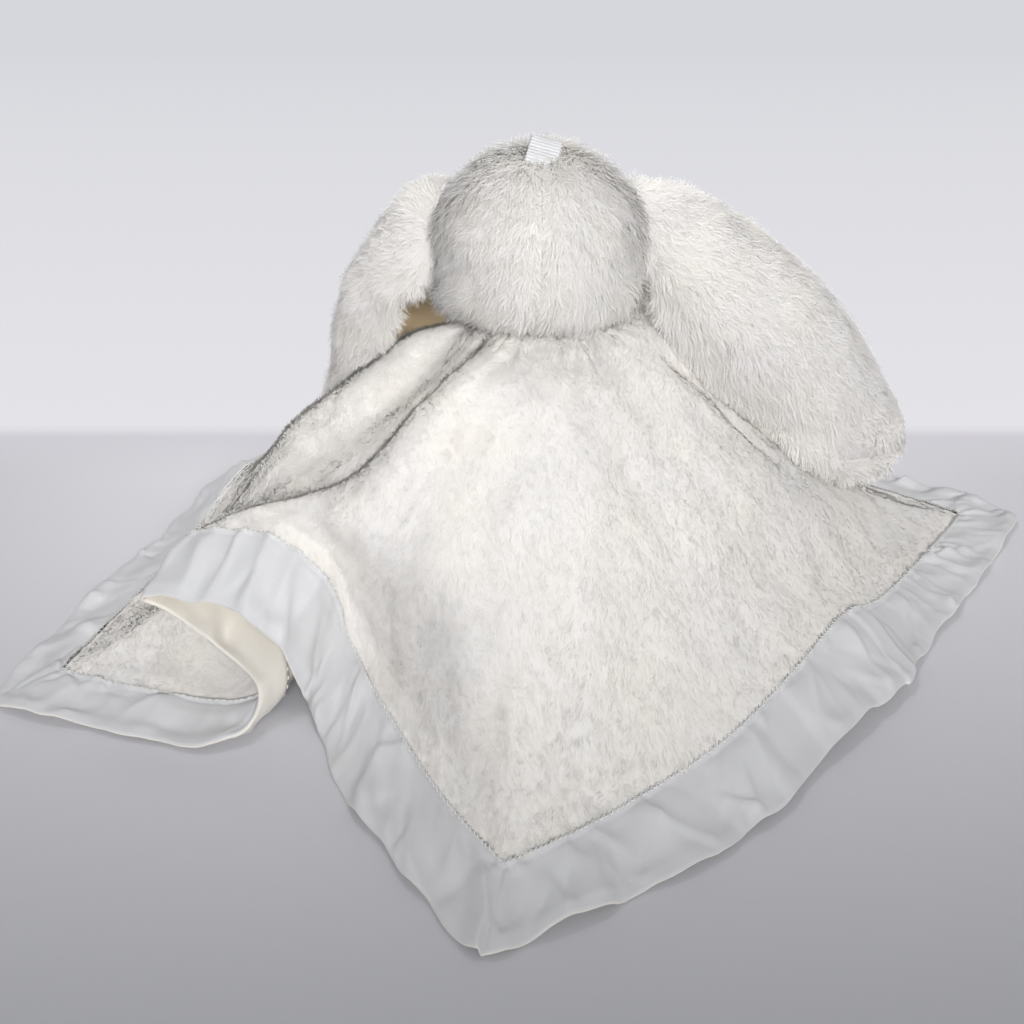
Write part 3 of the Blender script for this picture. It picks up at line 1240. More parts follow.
@dataclass
class Binding:
    """The satin ribbon folded over the blanket's edge, mitred at its corners, lapped and sewn down."""

    blanket: Blanket
    ribbon: float = 0.8
    satin: float = 0.45
    hem_wave: float = 0.8
    nose: float = 1.2
    lap_place: float = 0.572
    lap_length: float = 9.0
    lap_step: float = 3.0
    step: float = 0.0038
    flat_rows: tuple[int, int] = (24, 9)
    nose_rows: int = 5
    hem_over: float = 0.35
    hem_under: float = -1.5
    hem_lift: float = 1.3
    tip: float = 2.6
    thread: float = 0.3
    stitch: float = 2.2
    stitch_reach: float = 0.75
    crease_count: int = 330
    # Gathered lengths: middle, half length and count in sides, and height in mm.
    gathers: tuple[tuple[float, float, float, float], ...] = (
        (0.8, 0.13, 36.0, 1.1), (3.49, 0.13, 28.0, 1.7), (3.12, 0.13, 30.0, 0.5), (0.47, 0.1, 30.0, 0.4),
    )

    def __post_init__(self) -> None:
        """Works out the heights of the folded ribbon and the places of its sections."""
        blanket = self.blanket
        self.side = blanket.drape.side
        self.over = blanket.gap / 2 + blanket.plush + blanket.gap + self.ribbon
        self.under = -(blanket.gap / 2 + blanket.backing + blanket.gap + self.ribbon)
        self.raise_by = self.ribbon + blanket.gap
        start, end = self.lap_place, self.lap_place + 4 - blanket.gap / self.side
        columns = blanket.drape.columns(self.step, 2)
        columns = np.concatenate([columns, columns + 4])
        foot = end - self.lap_step / self.side
        columns = columns[(columns > start) & (columns < foot)]
        lap = np.linspace(end, end + self.lap_length / self.side, 8)
        self.places = np.concatenate([[start], columns, np.linspace(foot, end, 6, endpoint=False), lap])
        self.lap = smooth(foot, end, self.places)

    def top_relief(self, place: Array, across: Array) -> Array:
        """Height of the satin's creases: slow cross folds, fine puckers at the seam, gathers and mitres.

        Args:
            place: sides round the edge.
            across: mm from the seam towards the hem.

        Returns:
            Heights in mm.
        """
        along = np.mod(place, 4) * self.side
        front = bell(around(place, 4) * self.side, 75)
        folds = (1.0 + 0.7 * front) * ripples(along - 0.5 * across, across * 0.5, 16, 50, 31)
        folds = folds * smooth(0, 7, across)
        puckers = 0.16 * ripples(along, across * 0.3, 3.5, 8, 32) * np.exp(-across / 5)
        roll = 0.35 * bell(self.blanket.band - 3 - across, 3)
        total = folds + puckers + roll
        for middle, half, count, height in self.gathers:
            near = np.exp(-((around(place - middle, 4) / half) ** 4))
            waver = 0.9 * ripples(along, across * 0.2, 20, 40, 33)
            wave = np.abs(np.sin(np.pi * count * (place - middle) + waver))
            fade = 0.35 + 0.65 * smooth(-4, 16, self.blanket.band - across)
            total += height * near * (1 - wave) ** 1.5 * fade
        from_corner = around(place, 1) * (self.side - 2 * self.blanket.band + 2 * across)
        lapped = smooth(-0.5, 0.5, from_corner) * np.exp(-np.maximum(from_corner, 0) / 9)
        lip = 0.45 * np.exp(-((across / 1.1) ** 4)) - 0.4 * bell(across - 2.1, 0.8)
        mitre = 0.9 * lapped - 0.6 * bell(from_corner, 1.5)
        pulled = np.hypot(from_corner, across * 1.4)
        rays = 0.8 * np.sin(9 * np.arctan2(from_corner, across + 2)) * bell(pulled, 15)
        rays = rays * smooth(1, 5, pulled)
        return total + self.creases(along, across) + mitre + rays + lip

    def creases(self, along: Array, across: Array) -> Array:
        """Short creases in the satin, from its seam or its hem, each a soft crest at a slant.

        A crest's height falls with the distance from its line over its width to the power 1.4, sharply
        on one side and slowly on the other, and fades towards both ends of the line.

        Args:
            along: mm round the edge.
            across: mm from the seam towards the hem.

        Returns:
            Heights in mm.
        """
        rng = np.random.default_rng(SEEDS["creases"])
        round_length, band = 4 * self.side, self.blanket.band
        total = np.zeros(np.broadcast(along, across).shape)
        for _ in range(self.crease_count):
            start, slant = rng.uniform(0, round_length), rng.normal(0, 0.6)
            width, height = rng.uniform(0.9, 2.0), rng.uniform(0.4, 2.0) * rng.choice([-0.7, 1.0, 1.0])
            reach, from_hem = rng.uniform(8, 30), rng.random() < 0.6
            sharp, slow = rng.permutation([width, width * rng.uniform(2.5, 6)])
            depth = band - across if from_hem else across
            offset = around(along - start, round_length) - slant * depth
            near = np.abs(offset[0]) < 45 if offset.ndim == 2 else slice(None)
            part = offset[..., near]
            crest = np.exp(-np.abs(part / np.where(part < 0, sharp, slow)) ** 1.4)
            total[..., near] += height * crest * smooth(reach, reach * 0.3, depth) * smooth(-1.5, 2.5, depth)
        return total

    def sections(self) -> tuple[Array, Array]:
        """Points of the ribbon's outer and inner side, rows from the upper edge round the fold to the lower.

        Both sides run out from the seam, round half an ellipse at the hem and back.

        Returns:
            The outer and inner grids.
        """
        place = self.places[None, :]
        seam = self.blanket.seam
        upper, lower = self.flat_rows
        turn = np.linspace(np.pi / 2, -np.pi / 2, self.nose_rows + 2)[1:-1]
        fine = seam + (1 - seam) * np.linspace(0, 1, upper) ** 1.4
        out = np.concatenate([fine, np.ones(self.nose_rows), np.linspace(1, seam, lower)])
        lean = np.concatenate([np.ones(upper), np.sin(turn), -np.ones(lower)])
        bulge = np.concatenate([np.zeros(upper), np.cos(turn), np.zeros(lower)])
        across = (out - seam) * self.side / 2
        thin = smooth(self.blanket.allowance, self.blanket.band - 5, across)
        legs = ((self.over, self.hem_over), (self.under, self.hem_under))
        over, under = (a + (b - a) * thin[:, None] for a, b in legs)
        lifts = self.hem_lift * np.maximum(0, ripples(place * self.side, 0 * place, 22, 60, 73) + 0.2)
        relief = self.top_relief(place, across[:, None]) * np.where(lean > 0, 1, thin)[:, None]
        relief = relief + lifts * (thin**2)[:, None]
        middle, half = (over + under) / 2, (over - under) / 2
        raised = self.raise_by * self.lap[None, :]
        wave = ripples(place * self.side, 0 * place, 14, 46, 72) * self.hem_wave * 2 / self.side
        waved = wave * smooth(self.blanket.band * 0.3, self.blanket.band, across)[:, None]
        from_corner = np.abs(around(place, 1))
        waved = waved * smooth(0.01, 0.08, from_corner)
        rounding = self.tip * np.maximum(0, 1 - from_corner * self.side / 9) ** 2
        outer_half = smooth(self.blanket.band * 0.6, self.blanket.band, across)[:, None]
        waved = waved - rounding * 2 / self.side * outer_half
        grids = []
        for inward, share in ((0.0, 1.0), (self.satin, 0.9)):
            nose = 2 * (self.nose + raised - inward) / self.side
            height = middle + lean[:, None] * (half + raised - inward) + share * np.maximum(relief, -0.45)
            points = self.blanket.drape.raised(place, out[:, None] + waved + bulge[:, None] * nose, height)
            points[..., 2] = np.maximum(points[..., 2], 0.0 if inward == 0 else self.satin * 0.8)
            grids.append(points)
        self.seam_height = self.over + self.raise_by * self.lap + relief[0]
        return grids[0], grids[1]

    def ribbon_piece(self, finishes: Finishes) -> Piece:
        """Builds the folded ribbon."""
        outer, inner = self.sections()
        cloth = cloth_body(outer, inner, wraps=False)
        length, width = (np.cumsum(np.append(0, np.linalg.norm(np.diff(line, axis=0), axis=-1)))
                         for line in (outer[0], outer[:, 9]))
        cloth.uv = flat_uv(length[None, :], width[:, None], 2)
        turned_under = np.arange(len(outer)) >= self.flat_rows[0] + self.nose_rows // 2
        cloth.tint = np.tile(np.repeat(turned_under.astype(float), outer.shape[1]), 2)
        return cloth.piece("satin_ribbon", finishes.satin)

    def stitches(self, finishes: Finishes, upper: bool) -> Piece:
        """Builds the row of overcast stitches that crosses the ribbon's edge to and fro.

        Args:
            finishes: the object's finishes.
            upper: whether it is the row on the plush side.

        Returns:
            The thread.
        """
        turns = int(4 * (self.side - 2 * self.blanket.band) / self.stitch) * 2
        place = np.linspace(self.places[0], self.places[-1] - 0.002, turns)
        swing = np.where(np.arange(turns) % 2 == 0, 1.0, -1.0) * self.stitch_reach
        out = self.blanket.seam + 2 * swing / self.side
        if upper:
            satin = np.interp(place, self.places, self.seam_height) + 0.25
            plush = self.blanket.relief(place, out) + 0.25
            height = np.where(swing > 0, satin, np.maximum(plush, satin - 0.7))
        else:
            height = np.where(swing > 0, self.under - 0.12, self.under + 0.7)
        path = self.blanket.drape.raised(place, out, height)
        path[:, 2] = np.maximum(path[:, 2], self.thread)
        thread = tube(path, self.thread, 4)
        thread.uv = np.zeros((len(thread.points), 2))
        return thread.piece(f"{'upper' if upper else 'lower'}_stitches", finishes.thread)


# ---------------------------------------------------------------- the head


@dataclass
class BunnyHead:
    """The stuffed head: two back panels and a face panel of fur cloth over their filling."""

    width: float = 78.0
    depth: float = 76.0
    height: float = 69.0
    skin: float = 3.0
    centre: Place = (0.0, 4.0, 149.5)
    cheek: float = 0.05
    jaw: float = 4.0
    seam_gap: float = 0.4
    crown_back: float = 5.0
    neck_opening: float = 20.6
    rows: int = 84
    columns: int = 96
    cloth_radius: float = 37.0
    face_density: float = 0.62
    back_flat: Pair = (0.062, 0.098)
    face_flat: Pair = (0.098, 0.098)
    pile: Pile = Pile(per_mm2=4.4, length=7.4, width=0.31, lean=38, stray=24, lock=4.0, draw=0.75, joints=3,
                      droop=0.15)

    def girth(self, z: Array) -> Array:
        """Share of the full width at a height from -1 to 1.

        Above the middle it is a circle's, pulled in a little. Below, it is the square root of one
        less the height to the power `jaw`, which keeps the head full down to a flatter underside.

        Args:
            z: heights as shares of half the head.

        Returns:
            Shares of the width.
        """
        round_top = np.sqrt(np.clip(1 - z * z, 0, 1)) * (1 - self.cheek * z * (1 - z * z))
        return np.where(z < 0, np.sqrt(np.clip(1 - np.abs(z) ** self.jaw, 0, 1)), round_top)

    def form(self, azimuth: Array, polar: Array, grow: Amount) -> Array:
        """Points of the head: its girth at each height, stretched to its width and depth.

        Args:
            azimuth: turn from +X towards +Y.
            polar: turn from the crown down, which sets the height as its cosine.
            grow: mm outside the cloth's surface.

        Returns:
            Points in mm.
        """
        z = np.cos(polar)
        x, y = self.girth(z) * np.cos(azimuth), self.girth(z) * np.sin(azimuth)
        half = [self.width / 2 + grow, self.depth / 2 + grow, self.height / 2 + grow]
        return np.stack([x * half[0], y * half[1], z * half[2]], -1) + np.array(self.centre)

    def opening(self, azimuth: Array) -> Array:
        """Polar turn at which the head's surface reaches the round opening over the neck.

        Args:
            azimuth: turn from +X towards +Y.

        Returns:
            Polar turns.
        """
        across, deep = self.width / 2 * np.cos(azimuth), self.depth / 2 * np.sin(azimuth)
        square, back = across**2 + deep**2, self.centre[1]
        root = (deep * back) ** 2 + square * (self.neck_opening**2 - back**2)
        girth = (np.sqrt(root) - deep * back) / square
        return np.pi - np.arccos((1 - girth**2) ** (1 / self.jaw))

    def panel(self, back: bool) -> tuple[Array, Array]:
        """Turns of a panel's grid: from the middle seam to the crown seam, and from the crown to the neck.

        Args:
            back: whether it is the right back panel, or else the face panel.

        Returns:
            Azimuth and polar turns, rows from the crown down.
        """
        start = np.radians(0.7) if back else np.arcsin(min(1.0, (self.crown_back + 0.25) / (self.depth / 2)))
        share = np.linspace(0, 1, self.rows)[:, None] ** 1.25
        part = np.linspace(0, 1, self.columns)[None, :]
        part = (1 - np.cos(np.pi * part)) / 2
        azimuth = np.full((self.rows, self.columns), 0.1)
        plane = self.crown_back + (-0.5 if back else 0.5) * self.seam_gap
        for _ in range(4):
            polar = start + (self.opening(azimuth) - start) * share
            girth = np.maximum(self.girth(np.cos(polar)), 1e-6)
            limit = np.arcsin(np.clip(plane / (self.depth / 2 * girth), -1, 1))
            seam = -np.pi / 2 + np.arcsin(np.clip(self.seam_gap / self.width / girth, -1, 1))
            azimuth = seam + (limit - seam) * part if back else limit + (np.pi - 2 * limit) * part
        return azimuth, start + (self.opening(azimuth) - start) * share

    def dent(self, points: Array, back: bool) -> Array:
        """Depth of the sewn dents along the seams, with slow swells of the filling between them.

        Args:
            points: places on the head.
            back: whether they belong to a back panel.

        Returns:
            Heights in mm.
        """
        x, y, z = (points - np.array(self.centre)).transpose(2, 0, 1)
        middle = bell(x, 2.2) * smooth(6, 3, y) if back else 0.0
        crown = bell(y - self.crown_back, 2.4)
        swell = ripples(x + 0.4 * z, y - 0.3 * z, 26, 50, 41) * 0.5
        return swell - 0.9 * np.maximum(middle, crown)

    def panels(self, finishes: Finishes) -> tuple[list[Piece], dict[str, ClothGrid]]:
        """Builds the three panels.

        Args:
            finishes: the object's finishes.

        Returns:
            The panels, and their outer surfaces by name.
        """
        made, grids = [], {}
        for name, back, mirror in (("right", True, False), ("left", True, True), ("face", False, False)):
            azimuth, polar = self.panel(back)
            outer = ClothGrid(self.form(azimuth, polar, 0.0))
            outer = ClothGrid(outer.shifted(self.dent(outer.points, back)))
            inner = self.form(azimuth, polar, -self.skin)
            over = outer.points
            if mirror:
                over, inner = over[:, ::-1] * [-1, 1, 1], inner[:, ::-1] * [-1, 1, 1]
            cloth = cloth_body(over, inner, wraps=False)
            cloth.uv = flat_uv(azimuth * self.cloth_radius, polar * self.cloth_radius, 2)
            grids[name] = ClothGrid(over)
            made.append(cloth.piece(f"head_cloth_{name}", finishes.fur_cloth))
        return made, grids

    def brushed(self, roots: Array) -> Array:
        """Directions that the head's fur is brushed in.

        Down from the crown behind it, over the crown towards the face, and away from the nose on the face.

        Args:
            roots: points on the head.

        Returns:
            Directions, not yet laid in the cloth.
        """
        x, y, z = (roots - np.array(self.centre)).T
        swirl = 0.35 * ripples(x, z, 25, 60, 42)
        behind = np.stack([0.45 * x / 39 + swirl, -0.35 - 0.25 * z / 34, -1.0 - 0 * x], -1)
        behind[:, 0] += 0.9 * np.sign(x) * smooth(18, 34, np.abs(x)) * smooth(5, -20, z)
        over = smooth(8, 24, z)
        behind[:, 1] += 1.8 * smooth(-7, 3, y) * over
        ahead = np.stack([x, 34 * over, z * (1 - over) + 8], -1) / 14
        share = smooth(0, 16, y)[:, None]
        return behind * (1 - share) + ahead * share

    def fur(self, grids: dict[str, ClothGrid], bare: list[Place], finishes: Finishes) -> list[Piece]:
        """Plants the head's fur.

        Args:
            grids: the panels' outer surfaces.
            bare: embroidered patches as x, z and radius in mm.
            finishes: the object's finishes.

        Returns:
            A piece of fur for each panel.
        """
        made = []
        for k, (name, grid) in enumerate(grids.items()):
            rng = np.random.default_rng(SEEDS["head"] + k)
            density = self.pile.per_mm2 * (self.face_density if name == "face" else 1)
            roots, normals = grid.at(*grid.scatter(density, rng))
            x, y, z = (roots - np.array(self.centre)).T
            wide = np.abs(x)
            reach = np.ones(len(roots))
            if name == "face":
                for patch_x, patch_z, radius in bare:
                    distance = np.hypot(x - patch_x, z - patch_z)
                    reach *= smooth(radius - 0.5, radius + 5, distance) * 0.75 + 0.25 * (distance > radius)
            seam = np.minimum(np.where(y < self.crown_back, wide, 99), np.abs(y - self.crown_back))
            reach *= (0.55 + 0.45 * smooth(0.5, 4.5, seam)) * (1 + 0.45 * smooth(-4, -26, z))
            reach *= 1 + 0.35 * smooth(24, 34, wide) * smooth(-4, -22, z)
            reach *= 1 + 0.4 * smooth(27, 35, wide) * smooth(-6, 6, z) * (y < 8)
            reach *= 1 + 0.5 * mound(x, 9, y + 20, 5) * (z > 10)
            keep = reach > 0.2
            strands = self.pile.grow(roots[keep], normals[keep], self.brushed(roots[keep]), reach[keep], rng)
            made.append(strands.piece(f"head_fur_{name}", finishes.fur_pile))
        return made

    def ball(self, grow: float, lumps: float, rows: int, columns: int) -> Surface:
        """A closed form inside the head, for the filling.

        Args:
            grow: mm outside the cloth's surface.
            lumps: height of its lumps in mm.
            rows: rings from crown to neck.
            columns: points in a ring.

        Returns:
            The form, closed at both poles.
        """
        polar = np.linspace(0.04, np.pi - 0.04, rows)[:, None]
        azimuth = np.linspace(0, 2 * np.pi, columns, endpoint=False)[None, :]
        azimuth, polar = np.broadcast_arrays(azimuth, polar)
        plain = self.form(azimuth, polar, 0.0)
        lump = ripples(plain[..., 0] + plain[..., 2], plain[..., 1] - plain[..., 2], 9, 22, 43) - 1.6
        points = self.form(azimuth, polar, grow + lumps * lump)
        return closed_rings(points, np.stack([points[0].mean(0), points[-1].mean(0)]))

    def outside(self, points: Array, gap: float) -> Array:
        """How far points lie outside the head grown by a gap: under 1 is inside.

        The level distance over the girth at that height, and the height itself past the poles.
        """
        local = points - np.array(self.centre)
        z = local[..., 2] / (self.height / 2 + gap)
        level = np.hypot(local[..., 0] / (self.width / 2 + gap), local[..., 1] / (self.depth / 2 + gap))
        girth = self.girth(np.clip(z, -0.999, 0.999))
        return np.maximum(level / np.maximum(girth, 1e-6), np.abs(z))


@dataclass
class Embroidery:
    """The stitched eyes, nose and mouth on the face."""

    head: BunnyHead
    eye_radius: float = 4.0
    eye_spread: float = 16.0
    eye_rise: float = 3.0
    nose_width: float = 12.0
    nose_height: float = 8.5
    nose_drop: float = 6.0
    rise: float = 1.1
    gap: float = 0.3
    thread_pitch: float = 0.5

    def on_face(self, x: Array, z: Array, height: Amount) -> Array:
        """Points on the face at x and z from its middle and a height over the cloth.

        Args:
            x: mm to the right.
            z: mm up.
            height: mm over the cloth.

        Returns:
            Points in mm.
        """
        head = self.head
        girth = head.girth(z / (head.height / 2))
        deep = head.depth / 2 * np.sqrt(np.clip(girth**2 - (x / (head.width / 2)) ** 2, 0.05, 1))
        point = np.stack([x, deep, z], -1)
        normal = unit(point / np.array([head.width / 2, head.depth / 2, head.height / 2]) ** 2)
        return point + normal * np.broadcast_to(height, x.shape)[..., None] + np.array(head.centre)

    def patch(self, outline: Array, x: float, z: float, name: str, material: Material,
              upright: bool) -> Piece:
        """A satin-stitched patch: rings inside an outline, domed, with a thread's ridge at every pitch.

        Args:
            outline: points of the outline about its middle, in order.
            x: where its middle is.
            z: where its middle is.
            name: the piece's name.
            material: its thread.
            upright: whether the threads run up and down.

        Returns:
            The patch.
        """
        shares = np.append(np.linspace(0.02, 0.9, 22), [0.95, 0.98, 1.0])[:, None]
        px, pz = outline[None, :, 0] * shares, outline[None, :, 1] * shares
        over_x = px if upright else pz
        ridge = 0.12 * np.abs(np.sin(np.pi * over_x / self.thread_pitch))
        dome = self.gap + self.rise * np.sqrt(np.clip(1 - (0.94 * shares) ** 2, 0, 1)) - ridge
        over = self.on_face(px + x, pz + z, dome)
        under = self.on_face(px + x, pz + z, np.full(px.shape, self.gap))
        cloth = cloth_body(over, under, wraps=True, filled=True)
        top = np.stack([over_x, pz if upright else px], -1).reshape(-1, 2) * MM
        cloth.uv = np.concatenate([top, top, np.zeros((2, 2))])
        return cloth.piece(name, material)

    def eye(self, side: int, finishes: Finishes) -> Piece:
        """Builds an eye: a round patch with its threads across."""
        turn = np.linspace(0, 2 * np.pi, 72, endpoint=False)[::-1]
        outline = np.stack([np.cos(turn), np.sin(turn)], -1) * self.eye_radius
        name = f"eye_thread_{'left' if side < 0 else 'right'}"
        return self.patch(outline, side * self.eye_spread, self.eye_rise, name, finishes.eye_thread, False)

    def nose(self, finishes: Finishes) -> Piece:
        """Builds the nose: a rounded triangle, point down, from four quadratic curves."""
        half, tall = self.nose_width / 2, self.nose_height
        curves = [((0, -0.5), (1, -1 / 6), (1, 1 / 3)), ((1, 1 / 3), (1, 0.5), (0, 0.5)),
                  ((0, 0.5), (-1, 0.5), (-1, 1 / 3)), ((-1, 1 / 3), (-1, -1 / 6), (0, -0.5))]
        t = np.linspace(0, 1, 20, endpoint=False)[:, None]
        parts = [(1 - t) ** 2 * np.array(a) + 2 * t * (1 - t) * np.array(b) + t**2 * np.array(c)
                 for a, b, c in curves]
        outline = np.concatenate(parts)[::-1] * np.array([half, tall])
        return self.patch(outline, 0.0, -self.nose_drop, "nose_thread_patch", finishes.nose_thread, True)

    def mouth(self, finishes: Finishes) -> list[Piece]:
        """Builds the mouth: a short line under the nose and two curves from its foot."""
        start = -self.nose_drop - self.nose_height / 2
        t = np.linspace(0, 1, 16)
        lines = [(0 * t, start - 4.5 * t)]
        lines += [(side * 5.5 * np.sin(t * np.pi / 2), start - 4.5 - 2.6 * np.sin(t * np.pi / 1.35))
                  for side in (-1, 1)]
        made = []
        for k, (x, z) in enumerate(lines):
            thread = tube(self.on_face(x, z, 1.0), 0.42, 8)
            thread.uv = np.repeat(np.arange(len(t)) * 0.0004, 8)
            thread.uv = np.stack([np.append(thread.uv, [0, 0]), np.zeros(len(thread.points))], -1)
            made.append(thread.piece(f"mouth_thread_{k + 1}", finishes.nose_thread))
        return made


def centripetal(knots: Array, share: Array) -> Array:
    """Points along centripetal Catmull-Rom curves: cubic pieces timed by the square root of chord length.

    Args:
        knots: knots first, then any number of curves.
        share: places from 0 to 1 along all of them.

    Returns:
        One row of points for each place.
    """
    last = len(knots) - 1
    at = share * last
    i = np.minimum(at.astype(int), last - 1)
    w = (at - i).reshape(-1, *([1] * (knots.ndim - 1)))
    ends = np.concatenate([[2 * knots[0] - knots[1]], knots, [2 * knots[-1] - knots[-2]]])
    x0, x1, x2, x3 = (ends[i + k] for k in range(4))
    d0, d1, d2 = (np.sqrt(np.linalg.norm(b - a, axis=-1, keepdims=True))
                  for a, b in ((x0, x1), (x1, x2), (x2, x3)))
    d1 = np.where(d1 < 1e-4, 1.0, d1)
    d0, d2 = np.where(d0 < 1e-4, d1, d0), np.where(d2 < 1e-4, d1, d2)
    t1 = ((x1 - x0) / d0 - (x2 - x0) / (d0 + d1) + (x2 - x1) / d1) * d1
    t2 = ((x2 - x1) / d1 - (x3 - x1) / (d1 + d2) + (x3 - x2) / d2) * d1
    return x1 + t1 * w + (3 * (x2 - x1) - 2 * t1 - t2) * w**2 + (2 * (x1 - x2) + t1 + t2) * w**3


@dataclass
class LopEar:
    """A lop ear: fur cloth over a smooth lining, sewn round their edge and hung from the head's side."""

    side: int
    shares: tuple
    head: BunnyHead
    blanket_side: float = 380.0
    root_rise: float = 11.5
    fur: float = 2.6
    lining: float = 1.0
    gap: float = 0.3
    rim: float = 3.4
    puff: float = 3.0
    root_gap: float = 0.4
    rows: int = 150
    columns: int = 60
    dense: tuple[int, int] = (361, 121)
    pile: Pile = Pile(per_mm2=4.1, length=7.6, width=0.31, lean=33, stray=22, lock=4.0, draw=0.75, joints=3,
                      droop=0.12)

    @property
    def name(self) -> str:
        """The side's name."""
        return "left" if self.side < 0 else "right"

    def __post_init__(self) -> None:
        """Lays the middle surface, from where it leaves the head to its tip, and finds its widths."""
        root_height = self.head.centre[2] + self.root_rise
        root = np.array([self.side * self.head.width / 2, self.head.centre[1], root_height])
        scale = np.array([self.blanket_side, self.blanket_side, root_height])
        knots = np.array(self.shares, float) * scale + root
        knots = knots if self.side < 0 else knots[:, ::-1]
        along, across = (np.linspace(0, 1, count) for count in self.dense)
        points = centripetal(centripetal(knots, along).transpose(1, 0, 2), across).transpose(1, 0, 2)
        full = ClothGrid(points)
        offsets = (self.gap / 2 + self.fur, -self.gap / 2 - self.lining)
        hidden = np.minimum(*[self.head.outside(full.shifted(h), self.root_gap) for h in offsets]) < 1
        hidden[self.dense[0] // 2:] = False
        first = (np.arange(self.dense[0])[:, None] * hidden).max(0).astype(float)
        first = np.convolve(np.pad(first, 6, mode="edge"), np.ones(13) / 13, "valid") + 1
        rows = first[None, :] + (self.dense[0] - 1 - first[None, :]) * np.linspace(0, 1, self.rows)[:, None]
        columns = np.broadcast_to(np.arange(self.dense[1]), rows.shape)
        kept = full.blend(full.points, rows.ravel(), columns.ravel()).reshape(*rows.shape, 3)
        share = (1 - np.cos(np.pi * np.linspace(0, 1, self.columns))) / 2
        self.middle = ClothGrid(kept[:, np.round(share * (self.dense[1] - 1)).astype(int)])
        step = np.linalg.norm(np.diff(self.middle.points, axis=1), axis=-1)
        run = np.concatenate([np.zeros((self.rows, 1)), np.cumsum(step, 1)], 1)
        drop = np.linalg.norm(np.diff(self.middle.points, axis=0), axis=-1)
        left = np.concatenate([np.cumsum(drop[::-1], 0)[::-1], np.zeros((1, self.columns))])
        self.across = run - run[:, -1:] / 2
        self.from_edge = np.minimum(np.minimum(run, run[:, -1:] - run), left)
        self.from_root = left.max() - left

    def rounded(self, height: float) -> Array:
        """A cloth's height that rounds off to its sewn edges and root: a quarter circle over the rim."""
        near = np.clip(np.minimum(self.from_edge, self.from_root + 0.4) / self.rim, 0, 1)
        return height * (0.12 + 0.88 * np.sqrt(1 - (1 - near) ** 2))

    def cloths(self, finishes: Finishes) -> tuple[Piece, Piece]:
        """Builds the fur cloth and the lining.

        Args:
            finishes: the object's finishes.

        Returns:
            The two cloths.
        """
        x, y = self.from_root, self.across
        swell = 0.35 * ripples(x, y, 18, 40, 51 + self.side)
        plump = self.puff * (self.side > 0) * (1 - bell(self.from_edge, 13))
        plump = plump * smooth(15, 55, x) * smooth(0, 30, x.max() - x)
        top = self.gap / 2 + self.rounded(self.fur) + swell * np.clip(self.from_edge / 8, 0, 1) + plump
        self.top = ClothGrid(self.middle.shifted(top))
        fur = cloth_body(self.top.points, self.middle.shifted(self.gap / 2), wraps=False)
        wrinkle = 0.25 * ripples(x, y, 10, 26, 55 + self.side) * np.clip(self.from_edge / 8, 0, 1)
        low = -self.gap / 2 - self.rounded(self.lining) - np.abs(wrinkle)
        lining = cloth_body(self.middle.shifted(-self.gap / 2), self.middle.shifted(low), wraps=False)
        fur.uv = lining.uv = flat_uv(x, y, 2)
        return (fur.piece(f"ear_{self.name}_fur_cloth", finishes.fur_cloth),
                lining.piece(f"ear_{self.name}_smooth_lining", finishes.lining))

    def pelt(self, finishes: Finishes, pieces: int) -> list[Piece]:
        """Plants the ear's fur from root to tip, leaning out over its edges.

        Args:
            finishes: the object's finishes.
            pieces: number of pieces to part it into.

        Returns:
            The pieces of fur.
        """
        rng = np.random.default_rng(SEEDS["ear"] + self.side)
        row, column = self.top.scatter(self.pile.per_mm2, rng)
        roots, normals = self.top.at(row, column)
        fields = np.stack([self.from_edge, self.from_root, self.across], -1)
        edge, run, across = self.top.blend(fields, row, column).T
        down = self.top.at(row + 1.5, column)[0] - self.top.at(row - 1.5, column)[0]
        aside = self.top.at(row, column + 0.7)[0] - self.top.at(row, column - 0.7)[0]
        low_edge = -self.side * across > 0
        fan = np.sign(across) * np.exp(-edge / 4) * np.where(low_edge, 1.5, 0.6)
        down = unit(down) * (1 - 1.9 * np.exp(-run / 3.5))[:, None]
        nap = down + unit(aside) * (fan + 0.3 * ripples(run, across, 16, 40, 53))[:, None]
        reach = 0.8 + 0.2 * smooth(0, 10, edge) + np.where(low_edge, 0.3, -0.15) * np.exp(-edge / 5)
        reach = reach * (1 + 0.4 * np.exp(-run / 6))
        made = []
        for k, part in enumerate(np.array_split(np.argsort(run), pieces)):
            strands = self.pile.grow(roots[part], normals[part], nap[part], reach[part], rng)
            made.append(strands.piece(f"ear_{self.name}_fur_{k + 1}", finishes.fur_pile))
        return made


